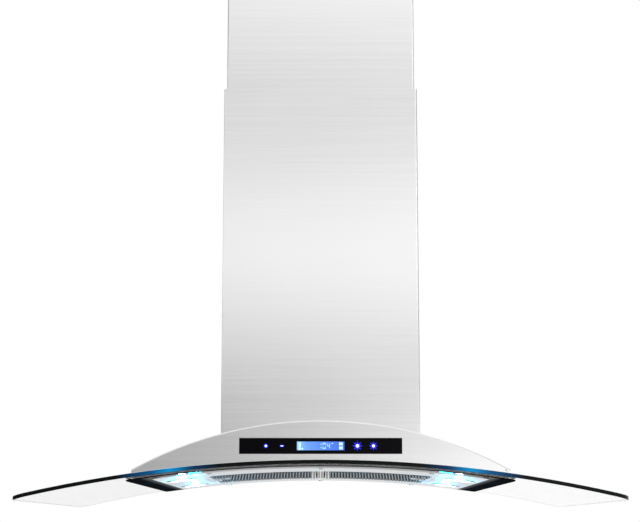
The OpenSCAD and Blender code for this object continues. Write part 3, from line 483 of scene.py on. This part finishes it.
# ---------------------------------------------------------------------------------------
# Body. One skin of brushed stainless sheet: an arched top, two short ends and two flat
# faces whose long curved edges are bent, welded and polished bright. It stands on the
# glass, with an aperture in its front face for the control strip.
# ---------------------------------------------------------------------------------------
body_brush = (9.0, 9.0, 1500.0)
body_steel = brushed_steel("body_steel", (0.92, 0.92, 0.92), roughness=0.17, lay=body_brush)
edge_polish = brushed_steel("edge_polish", (0.93, 0.93, 0.93), roughness=0.2, lay=body_brush)
edge_bend = 0.0018
end_bend = 0.004
sheet_gauge = 0.001
glass_gap = 0.0003
control_low, control_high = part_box("control_glass")
aperture_gap = 0.0003
APERTURE_X = control_high.x + aperture_gap
APERTURE_LOW = control_low.z - aperture_gap
APERTURE_HIGH = control_high.z + aperture_gap
neck_flange = 0.011
neck_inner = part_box("blower_neck")[1] - Vector((neck_flange, neck_flange, 0))

crown_steps = 10
shoulder_steps = 15
bend_steps = 5
end_turn = 80                  # degrees that the end's bend turns through


def spread(low, high, steps):
    return [low + (high - low) * i / steps for i in range(steps + 1)]


shoulder_x = BODY_HALF_W - end_bend
half_columns = sorted(set(spread(0.0, neck_inner.x, crown_steps) +
                          spread(neck_inner.x, shoulder_x, shoulder_steps) + [APERTURE_X]))
columns = [-x for x in reversed(half_columns[1:])] + half_columns


def body_outline():
    """One face from its lower left to its lower right corner, with outward normals."""
    outline = [(Vector((-BODY_HALF_W, arch_height(BODY_HALF_W, glass_gap))), Vector((-1, 0)))]
    left = Vector((-shoulder_x, cover_height(shoulder_x) - end_bend))
    for step in range(bend_steps):
        angle = math.radians(180 - end_turn * step / bend_steps)
        normal = Vector((math.cos(angle), math.sin(angle)))
        outline.append((left + end_bend * normal, normal))
    for x in columns:
        normal = Vector((x, cover_height(x) - BODY_AXIS)).normalized()
        outline.append((Vector((x, cover_height(x))), normal))
    mirrored = [(Vector((-p.x, p.y)), Vector((-n.x, n.y)))
                for p, n in reversed(outline[:bend_steps + 1])]
    return outline + mirrored


def face_levels(x):
    """Foot, sill and head of a flat face at x; sill and head follow the aperture's edges."""
    near = min(abs(x), APERTURE_X)
    foot, top = arch_height(x, glass_gap), cover_height(x)
    near_foot, near_top = arch_height(near, glass_gap), cover_height(near)
    parts = [(z - near_foot) / (near_top - near_foot) for z in (APERTURE_LOW, APERTURE_HIGH)]
    return [foot] + [foot + part * (top - foot) for part in parts]


def body_skin():
    """The arched top with a bend along each long edge, and the two flat faces below it."""
    outline = body_outline()
    count = len(outline)
    depth_rings = []
    for step in range(bend_steps + 1):
        angle = math.pi / 2 * step / bend_steps
        depth_rings.append((edge_bend * (1 - math.sin(angle)),
                            BODY_FRONT + edge_bend * (1 - math.cos(angle))))
    depth_rings += [(0.0, -neck_inner.y)]
    rings = depth_rings + [(inset, -y) for inset, y in reversed(depth_rings)]
    points = [(p.x - inset * n.x, y, p.y - inset * n.y) for inset, y in rings for p, n in outline]
    faces = []
    for face in rings_to_faces(count, len(rings), closed_loop=False):
        middle = sum((Vector(points[i]) for i in face), Vector()) / 4
        in_opening = abs(middle.x) < neck_inner.x and abs(middle.y) < neck_inner.y
        polished = abs(middle.y) > -BODY_FRONT - edge_bend
        if not in_opening:
            faces.append((face, 1 if polished else 0))
    for side in (-1, 1):
        ring = 0 if side < 0 else (len(rings) - 1) * count
        first = ring + 1 + bend_steps
        base = len(points)
        for x in columns:
            points += [(x, -side * BODY_FRONT, z) for z in face_levels(x)]
        stacks = [[base + 3 * i, base + 3 * i + 1, base + 3 * i + 2, first + i]
                  for i in range(len(columns))]
        for i in range(len(columns) - 1):
            beside = abs(columns[i] + columns[i + 1]) / 2 > APERTURE_X
            for row in range(3):
                if row != 1 or beside or side > 0:
                    face = (stacks[i][row], stacks[i + 1][row], stacks[i + 1][row + 1],
                            stacks[i][row + 1])
                    faces.append((face[::-side], 0))
        # The two small corners beside the columns; the rear face runs the other way round
        left_end = stacks[0][::-1] + list(range(ring, first))
        right_end = stacks[-1] + list(range(first + len(columns), ring + count))
        faces += [(tuple(left_end)[::side], 0), (tuple(right_end)[::-side], 0)]
    return points, faces


skin_points, skin_faces = body_skin()
body_piece = make_piece("body_skin", skin_points, skin_faces, [body_steel, edge_polish],
                        "canopy", "body_steel", ["top_cover", "front_panel", "rear_panel"])
gauge = body_piece.modifiers.new("gauge", "SOLIDIFY")
gauge.thickness = sheet_gauge
gauge.offset = -1.0


# ---------------------------------------------------------------------------------------
# Control strip. Black back-painted glass on a moulded tray, lit from behind: a display
# window with a blue backlight, and four touch marks for plus, minus, light and power.
# The electronics sit in a small plated box on the flange behind it.
# ---------------------------------------------------------------------------------------
strip_glass = Finish("strip_glass", Specular_IOR_Level=0.06)
smear = strip_glass.noise(scale=30.0, detail=3.0)
strip_glass.set(
    Base_Color=strip_glass.mix(smear, rgba(0.001, 0.001, 0.002), rgba(0.004, 0.004, 0.006)),
    Roughness=0.05 + smear * 0.08)
dress(strip_glass, "control_glass")
dress(moulded("tray_black", (0.02, 0.02, 0.021), roughness=0.55), "control_tray")
dress(moulded("board_green", (0.02, 0.16, 0.07), roughness=0.4, grain=700.0),
      "control_board", "power_board")
dress(moulded("capacitor_shell", (0.78, 0.78, 0.74), roughness=0.5), "power_capacitor")


def glow(name, colour, strength):
    """A lit mark, a little uneven as backlights are."""
    light = Finish(name, Roughness=0.4, Emission_Strength=strength)
    flicker = light.noise(scale=350.0, detail=2.0)
    dim = tuple(0.82 * c for c in colour)
    light.set(Base_Color=rgba(0.02, 0.02, 0.03),
              Emission_Color=light.mix(flicker, rgba(*dim), rgba(*colour)))
    return light


display_light = Finish("display_light", Roughness=0.35, Emission_Strength=1.0)
display_low, display_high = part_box("lcd_module")
along = (display_light.along(0) - display_low.x) / (display_high.x - display_low.x)
patch = display_light.noise(scale=60.0, detail=2.0)
tone = display_light.node("ShaderNodeValToRGB", {"stops": [
    (0.0, (0.36, 0.66, 1.0)), (0.25, (0.13, 0.33, 0.9)), (0.6, (0.07, 0.2, 0.82)),
    (1.0, (0.02, 0.1, 0.75))]}, {0: along + (patch - 0.5) * 0.25})
display_light.set(Base_Color=rgba(0.02, 0.05, 0.2), Emission_Color=tone)
digit_light = glow("digit_light", (0.5, 0.95, 1.0), strength=1.15)
pale_light = glow("pale_light", (0.6, 0.95, 1.0), strength=1.3)
mark_white = glow("mark_white", (0.85, 0.9, 1.0), strength=2.2)
mark_blue = glow("mark_blue", (0.0, 0.0, 1.0), strength=1.2)

strip_face = control_low.y
strip_middle = (control_low.z + control_high.z) / 2
window_half_w = 0.0355
window_half_h = 0.0065
light_depth = 0.00012          # of a window or halo, proud of the glass
mark_depth = 0.0002            # of what lies on it


def face_shape(x, z, outline, depth):
    """A thin prism standing proud of the control strip, from an outline about a point."""
    count = len(outline)
    points = [(x + u, y, z + v) for y in (strip_face + mark_depth, strip_face - depth)
              for u, v in outline]
    faces = [(tuple(range(count))[::-1], 0), (tuple(range(count, 2 * count)), 0)]
    for i in range(count):
        j = (i + 1) % count
        faces.append(((i, j, count + j, count + i), 0))
    return points, faces


def bar(u0, v0, u1, v1):
    return [(u0, v0), (u1, v0), (u1, v1), (u0, v1)]


def join_shapes(shapes):
    points, faces = [], []
    for shape_points, shape_faces in shapes:
        base = len(points)
        points += shape_points
        faces += [(tuple(base + i for i in face), finish) for face, finish in shape_faces]
    return points, faces


SEGMENTS = {"0": "abcdef", "1": "bc", "4": "bcfg"}


def digit_bars(figure, x, w, h, stroke):
    """The lit bars of one seven-segment figure."""
    half = h / 2
    places = {
        "a": bar(x, half - stroke, x + w, half), "d": bar(x, -half, x + w, -half + stroke),
        "g": bar(x, -stroke / 2, x + w, stroke / 2),
        "b": bar(x + w - stroke, stroke, x + w, half - stroke),
        "c": bar(x + w - stroke, -half + stroke, x + w, -stroke),
        "f": bar(x, stroke, x + stroke, half - stroke),
        "e": bar(x, -half + stroke, x + stroke, -stroke)}
    return [places[letter] for letter in SEGMENTS[figure]]


window_bar = bar(-window_half_w, -window_half_h, window_half_w, window_half_h)
window = face_shape(0, strip_middle, window_bar, light_depth)
make_piece("display_window", *window, [display_light], "canopy", "display_blue", ["lcd_module"])

digits_x = -0.0035
digit_pitch = 0.0064
figures = []
for place, figure in enumerate("104"):
    figures += digit_bars(figure, digits_x + digit_pitch * place, w=0.0046, h=0.009, stroke=0.0012)
degree_mark = bar(0.0165, 0.003, 0.0185, 0.0045)
digits = join_shapes([face_shape(0, strip_middle, outline, mark_depth)
                      for outline in figures + [degree_mark]])
make_piece("display_figures", *digits, [digit_light], "canopy", "display_blue")

# Three steps of fan speed and a dot on the left, two lamp blocks on the right
speed_x, speed_w, speed_h, speed_pitch = -0.033, 0.0035, 0.003, 0.0038
speed_foot = -0.0055
dot_x, dot_size = -0.0285, 0.0023
block_x, block_w, block_inner, block_outer = 0.0275, 0.0055, 0.0008, 0.0052
level_bars = [bar(speed_x, speed_foot + speed_pitch * i, speed_x + speed_w,
                  speed_foot + speed_h + speed_pitch * i) for i in range(3)]
level_bars += [bar(dot_x, speed_foot, dot_x + dot_size, speed_foot + dot_size),
               bar(block_x, block_inner, block_x + block_w, block_outer),
               bar(block_x, -block_outer, block_x + block_w, -block_inner)]
levels = join_shapes([face_shape(0, strip_middle, outline, mark_depth) for outline in level_bars])
make_piece("display_levels", *levels, [pale_light], "canopy", "display_blue")


def disc(radius, sides=24):
    return [(radius * math.cos(2 * math.pi * i / sides), radius * math.sin(2 * math.pi * i / sides))
            for i in range(sides)]


def star(inner, outer, rays):
    spikes = []
    for i in range(2 * rays):
        radius = outer if i % 2 == 0 else inner
        angle = math.pi * i / rays + math.pi / 2
        spikes.append((radius * math.cos(angle), radius * math.sin(angle)))
    return spikes


def centred_bar(w, h):
    return bar(-w / 2, -h / 2, w / 2, h / 2)


def marks_on_strip(marks):
    """Joins marks given as the name of a place, an outline and a depth."""
    return join_shapes([face_shape(mark_xs[name], strip_middle, outline, depth)
                        for name, outline, depth in marks])


mark_xs = {"plus": -0.082, "minus": -0.058, "light": 0.055, "power": 0.079}
cross_lift = 0.00002           # keeps the two bars of the plus from lying in one plane
halos = marks_on_strip([("plus", disc(radius=0.0032), light_depth),
                        ("minus", centred_bar(w=0.006, h=0.0028), light_depth),
                        ("light", star(inner=0.0036, outer=0.0078, rays=8), light_depth),
                        ("power", star(inner=0.0034, outer=0.007, rays=8), light_depth)])
make_piece("touch_halos", *halos, [mark_blue], "canopy", "icon_blue", ["touch_icons"])
centres = marks_on_strip([("plus", centred_bar(w=0.0036, h=0.0012), mark_depth),
                          ("plus", centred_bar(w=0.0012, h=0.0036), mark_depth + cross_lift),
                          ("minus", centred_bar(w=0.0036, h=0.001), mark_depth),
                          ("light", disc(radius=0.0023), mark_depth),
                          ("power", disc(radius=0.002), mark_depth)])
make_piece("touch_marks", *centres, [mark_white], "canopy", "icon_blue")


# ---------------------------------------------------------------------------------------
# Glass canopy. One pane of 6 mm tempered glass, bent to a long arch, with a rectangular
# cut-out under the body. Its edge is ground with an arris above and below. The edge is
# painted near black, a painted shade for the dark it gathers from the whole pane, and beside
# the lamps it carries painted blue light, an emission for lamp light led out at the edge.
# ---------------------------------------------------------------------------------------
pane = Finish("pane", IOR=1.45, Transmission_Weight=1.0, Roughness=0.0)
haze = pane.noise(scale=14.0, detail=2.0)
pane.set(Base_Color=pane.mix(haze, rgba(0.95, 0.96, 0.96), rgba(0.97, 0.975, 0.975)),
         Roughness=haze * 0.01)
# The edge's colour is painted shade, near black, and its emission is painted light
painted_dark_pane_edge = Finish("painted_dark_pane_edge", Specular_IOR_Level=0.1, Emission_Strength=0.8)
ripple = painted_dark_pane_edge.noise(scale=60.0, detail=2.0)
# Painted light: blue emission on the edge near each lamp, by distance from the middle
painted_lamp_glow_on_edge = painted_dark_pane_edge.node("ShaderNodeValToRGB", {"stops": [
    (0.15, (0.0, 0.0, 0.0)), (0.19, (0.0, 0.04, 0.14)), (0.222, (0.0, 0.34, 0.75)),
    (0.25, (0.0, 0.1, 0.3)), (0.3, (0.0, 0.0, 0.0))]}, {0: painted_dark_pane_edge.off_centre(0)})
painted_dark_pane_edge.set(
    Base_Color=painted_dark_pane_edge.mix(ripple, rgba(0.001, 0.002, 0.002), rgba(0.006, 0.008, 0.008)),
    Roughness=0.1 + ripple * 0.1, Emission_Color=painted_lamp_glow_on_edge)
ground_arris = Finish("ground_arris", Specular_IOR_Level=0.4)
grit = ground_arris.noise(scale=800.0, detail=3.0)
ground_arris.set(
    Base_Color=ground_arris.mix(grit, rgba(0.78, 0.82, 0.82), rgba(0.95, 0.97, 0.97)),
    Roughness=0.35 + grit * 0.2)

glass_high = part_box("glass_canopy")[1]
glass_thick = 0.006
glass_corner = 0.025
cutout_half = Vector((0.256, 0.222))
arris = 0.0008
arris_turn = 0.0006            # height over which the upper arris turns into the edge
edge_profile = ((arris / 2, -arris / 2), (arris, -arris / 2 - arris_turn),
                (arris, -glass_thick + arris))
hole_columns, wing_columns, corner_columns = 14, 12, 8
band_rows, hole_rows = 6, 8


def glass_pane():
    """A grid of columns and rows, less the cut-out, with its outer rim and inner walls."""
    half_w = glass_high.x - arris
    half_d = glass_high.y - arris
    corner = glass_corner - arris
    turn = [math.pi / 2 * i / corner_columns for i in range(1, corner_columns + 1)]
    xs = sorted(set(spread(0.0, cutout_half.x, hole_columns) +
                    spread(cutout_half.x, half_w - corner, wing_columns) +
                    [half_w - corner + corner * math.sin(angle) for angle in turn]))
    xs = [-x for x in reversed(xs[1:])] + xs

    def reach(x):
        over = max(0.0, abs(x) - (half_w - corner))
        return half_d - corner + math.sqrt(max(0.0, corner**2 - over**2))

    columns_y = []
    for x in xs:
        outer = spread(-reach(x), -cutout_half.y, band_rows)
        inner = spread(-cutout_half.y, cutout_half.y, hole_rows)
        columns_y.append(outer + inner[1:-1] + [-y for y in reversed(outer)])
    per = len(columns_y[0])
    points = []
    for lift in (0.0, -glass_thick):
        for x, ys in zip(xs, columns_y):
            points.extend((x, y, arch_height(x, lift)) for y in ys)
    layer = len(xs) * per
    faces = []
    for i in range(len(xs) - 1):
        inside_x = abs(xs[i] + xs[i + 1]) / 2 < cutout_half.x
        for j in range(per - 1):
            if inside_x and band_rows <= j < per - 1 - band_rows:
                continue
            a, b = i * per + j, (i + 1) * per + j
            faces.append(((a, b, b + 1, a + 1), 0))
            faces.append(((layer + a, layer + a + 1, layer + b + 1, layer + b), 0))
    front = [i * per for i in range(len(xs))]
    right = [(len(xs) - 1) * per + j for j in range(1, per)]
    back = [i * per + per - 1 for i in reversed(range(len(xs) - 1))]
    left = [j for j in reversed(range(1, per - 1))]
    rim = front + right + back + left
    count = len(rim)
    base = len(points)
    for k, index in enumerate(rim):
        run = Vector(points[rim[(k + 1) % count]]) - Vector(points[rim[k - 1]])
        normal = Vector((run.y, -run.x)).normalized()
        x, y, _ = points[index]
        for out, lift in edge_profile:
            px, py = x + out * normal.x, y + out * normal.y
            points.append((px, py, arch_height(px, lift)))
    strip = len(edge_profile)
    for k in range(count):
        n = (k + 1) % count
        ladder = [rim[k]] + [base + k * strip + s for s in range(strip)] + [layer + rim[k]]
        after = [rim[n]] + [base + n * strip + s for s in range(strip)] + [layer + rim[n]]
        for s in range(strip + 1):
            faces.append(((ladder[s], ladder[s + 1], after[s + 1], after[s]), 1 if s else 2))
    hole_x = [i for i, x in enumerate(xs) if abs(x) <= cutout_half.x + 1e-9]
    first, last = hole_x[0], hole_x[-1]
    low, high = band_rows, per - 1 - band_rows
    loop = [i * per + low for i in range(first, last + 1)]
    loop += [last * per + j for j in range(low + 1, high + 1)]
    loop += [i * per + high for i in reversed(range(first, last))]
    loop += [first * per + j for j in reversed(range(low + 1, high))]
    for k, a in enumerate(loop):
        b = loop[(k + 1) % len(loop)]
        faces.append(((a, b, layer + b, layer + a), 1))
    return points, faces


make_piece("glass_pane", *glass_pane(), [pane, painted_dark_pane_edge, ground_arris], "canopy",
           "canopy_glass", ["glass_canopy"])


# ---------------------------------------------------------------------------------------
# Underside. A plate coloured near black, with no reflection of its own under a clear coat,
# is clamped under the glass on a gasket of pale silicone; under it a satin steel panel
# carries the lamps and surrounds the filters. Both are rolled to the same arch. The plate
# is glossy between the lamps and dull beyond them.
# ---------------------------------------------------------------------------------------
dress(moulded("pale_silicone", (0.8, 0.81, 0.81), roughness=0.4, grain=500.0), "lower_gasket")
# The plate is coloured near black, with its own reflection turned off under the coat
near_black_plate_finish = Finish("near_black_plate_finish", Specular_IOR_Level=0.0, Coat_Roughness=0.08)
gloss = near_black_plate_finish.node("ShaderNodeValToRGB", greys((0.2, 1.0), (0.27, 0.0)),
                          {0: near_black_plate_finish.off_centre(0)})
orange_peel = near_black_plate_finish.noise(scale=160.0, detail=2.0)
dust = near_black_plate_finish.noise(scale=900.0, detail=4.0)
near_black_plate_finish.set(
    Base_Color=near_black_plate_finish.mix(dust, rgba(0.004, 0.004, 0.005), rgba(0.012, 0.012, 0.013)),
    Roughness=0.3 + dust * 0.1, Coat_Weight=gloss)
near_black_plate_finish.bump(orange_peel, strength=0.04, distance=0.0004)
dress(near_black_plate_finish, "under_plate")
panel_steel = brushed_steel("panel_steel", (0.8, 0.8, 0.8), roughness=0.36, lay=(8.0, 900.0, 8.0))
filter_half_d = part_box("filter_mesh_right")[1].y
strand_pitch = 0.0047
dark_half_w = 0.0077
rib_part = 0.34


def shade_between_filters(finish):
    """Paints shade, near black, onto a finish between the filters, with ribs that carry on the
    foil's strands.
    """
    out = finish.off_centre(0)
    phase = finish.node("ShaderNodeMath", {"operation": "FRACT"},
                        {0: out / strand_pitch + rib_part / 2})
    between = (out < dark_half_w) * (finish.off_centre(1) < filter_half_d)
    # Painted shade in the gap between the filters, broken by ribs
    dark = between * (phase > rib_part)
    steel = Wire(finish.tree, finish.shader.inputs["Base Color"].links[0].from_socket)
    finish.set(Base_Color=finish.mix(dark, steel, rgba(0.01, 0.01, 0.01)))


shade_between_filters(panel_steel)
dress(panel_steel, "light_panel")


# ---------------------------------------------------------------------------------------
# Lamps. Four round LED lamps: a bright plated ring, a domed frosted lens lit cool white,
# and a cast housing behind. Each throws a cyan pool on the plates beside it.
# ---------------------------------------------------------------------------------------
ring_plate = cast_metal("ring_plate", (0.85, 0.87, 0.9), roughness=0.2, grain=1200.0)
dress(ring_plate, "lamp_bezels")
lens_light = Finish("lens_light", Roughness=0.3, Emission_Strength=7.0)
frost = lens_light.noise(scale=500.0, detail=2.0)
lens_light.set(Base_Color=rgba(0.75, 0.9, 1.0),
               Emission_Color=lens_light.mix(frost, rgba(0.5, 0.86, 1.0), rgba(0.78, 0.96, 1.0)))
dress(lens_light, "lamp_lenses")

lamp_x = 0.224
lamp_y = 0.115
panel_lift = -0.0102           # of the panel's lower face from the glass's top face
core_drop, core_watts, core_size = 0.010, 0.06, 0.006
spill_drop, spill_watts, spill_size = 0.026, 0.35, 0.012


def on_normal(x, y, lift):
    """A point on the normal to the glass at x, lift above the glass's top face."""
    lean = math.asin(x / GLASS_RADIUS)
    reach = GLASS_RADIUS + lift
    return reach * math.sin(lean), y, ARCH_AXIS + reach * math.cos(lean)


def lamp_light(name, place, watts, size, colour):
    data = bpy.data.lights.new(name, "POINT")
    data.energy = watts
    data.color = colour
    data.shadow_soft_size = size
    light = bpy.data.objects.new(name, data)
    light.location = place
    bpy.context.scene.collection.objects.link(light)


for side in (-1, 1):
    for end in (-1, 1):
        x, y = side * lamp_x, end * lamp_y
        lamp_light("lamp_core", on_normal(x, y, panel_lift - core_drop), core_watts, core_size,
                   (0.5, 0.9, 1.0))
        lamp_light("lamp_spill", on_normal(x, y, panel_lift - spill_drop), spill_watts, spill_size,
                   (0.0, 0.5, 1.0))


# ---------------------------------------------------------------------------------------
# Grease filters. Each is an aluminium rim round layers of expanded foil mesh, with a
# plated sliding latch at its outer edge. The outer foil's strands run front to back in
# shallow zigzags, and part a little towards the back.
# ---------------------------------------------------------------------------------------
rim_aluminium = brushed_steel("rim_aluminium", (0.78, 0.78, 0.79), roughness=0.34,
                              lay=(8.0, 700.0, 8.0))
shade_between_filters(rim_aluminium)
dress(rim_aluminium, "filter_frame_left", "filter_frame_right")
dress(cast_metal("latch_plate", (0.86, 0.86, 0.87), roughness=0.16, grain=900.0),
      "latch_left", "latch_right")
mesh_aluminium = cast_metal("mesh_aluminium", (0.3, 0.3, 0.3), roughness=0.45, grain=700.0)
# The inner foils are painted near black: painted shade deep in the filter, behind the outer strands
shaded_mesh_core = moulded("shaded_mesh_core", (0.008, 0.008, 0.008), roughness=0.9, grain=300.0)

strand_step = 0.007
strand_fan = 0.14
strand_half_w = 0.0008
strand_half_t = 0.0005
strand_sway = 0.14             # zigzag as a share of the pitch
foil_margin = 0.0002
face_lift = panel_lift - 0.0007
core_low, core_high = panel_lift + 0.0015, panel_lift + 0.006
latch_pad = Vector((0.034, 0.026))
pad_gap = 0.001
rim_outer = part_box("filter_frame_right")[1].x


def in_mesh(x, y, low, high):
    beside_pad = x < rim_outer - latch_pad.x - pad_gap or abs(y) > latch_pad.y + pad_gap
    return low.x < x < high.x and low.y < y < high.y and beside_pad


def mesh_layer(low, high, lift):
    """Strands of expanded foil that zigzag from front to back over the filter's arch."""
    points, faces = [], []
    strands = int((high.x - low.x) / strand_pitch)
    steps = int((high.y - low.y) / strand_step)
    pitch = (high.x - low.x) / strands
    for strand in range(strands):
        run = []
        for step in range(steps + 2):
            sway = pitch * strand_sway * (-1) ** (strand + step)
            y = low.y + (step - 0.5) * (high.y - low.y) / steps
            fan = 1 + strand_fan * (y - low.y) / (high.y - low.y)
            x = (low.x + (strand + 0.5) * pitch) * fan + sway
            y = min(max(y, low.y + foil_margin), high.y - foil_margin)
            if step <= steps and in_mesh(x, y, low, high):
                run.append((x, y))
                continue
            if len(run) > 1:
                base = len(points)
                for px, py in run:
                    z = arch_height(px, lift)
                    points += [(px - strand_half_w, py, z - strand_half_t),
                               (px + strand_half_w, py, z - strand_half_t),
                               (px + strand_half_w, py, z + strand_half_t),
                               (px - strand_half_w, py, z + strand_half_t)]
                rings = len(run)
                faces += [(tuple(base + i for i in face), 0) for face in rings_to_faces(4, rings)]
                end = base + (rings - 1) * 4
                faces.append(((base + 3, base + 2, base + 1, base), 0))
                faces.append(((end, end + 1, end + 2, end + 3), 0))
            run = []
    return points, faces


def core_slab(low, high, bottom, top):
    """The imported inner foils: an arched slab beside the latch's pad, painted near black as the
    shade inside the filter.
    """
    points, faces = [], []
    pad_x = rim_outer - latch_pad.x
    for x0, x1, y0, y1 in ((low.x, pad_x, low.y, high.y), (pad_x, high.x, low.y, -latch_pad.y),
                           (pad_x, high.x, latch_pad.y, high.y)):
        base = len(points)
        xs = spread(x0, x1, 8)
        for x in xs:
            points += [(x, y0, arch_height(x, bottom)), (x, y1, arch_height(x, bottom)),
                       (x, y1, arch_height(x, top)), (x, y0, arch_height(x, top))]
        faces += [(tuple(base + i for i in face), 1) for face in rings_to_faces(4, len(xs))]
        end = base + (len(xs) - 1) * 4
        faces.append(((base + 3, base + 2, base + 1, base), 1))
        faces.append(((end, end + 1, end + 2, end + 3), 1))
    return points, faces


right_low, right_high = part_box("filter_mesh_right")
inner_edge = 0.0077
wide_low = Vector((inner_edge, right_low.y, right_low.z))
layers = join_shapes([mesh_layer(wide_low, right_high, face_lift),
                      core_slab(right_low, right_high, core_low, core_high)])
for side, label in ((1, "right"), (-1, "left")):
    mirrored = [(side * x, y, z) for x, y, z in layers[0]]
    turned = [(face[::side], finish) for face, finish in layers[1]]
    make_piece("filter_foil_" + label, mirrored, turned, [mesh_aluminium, shaded_mesh_core],
               "filter_" + label, "filter_mesh", ["filter_mesh_" + label])
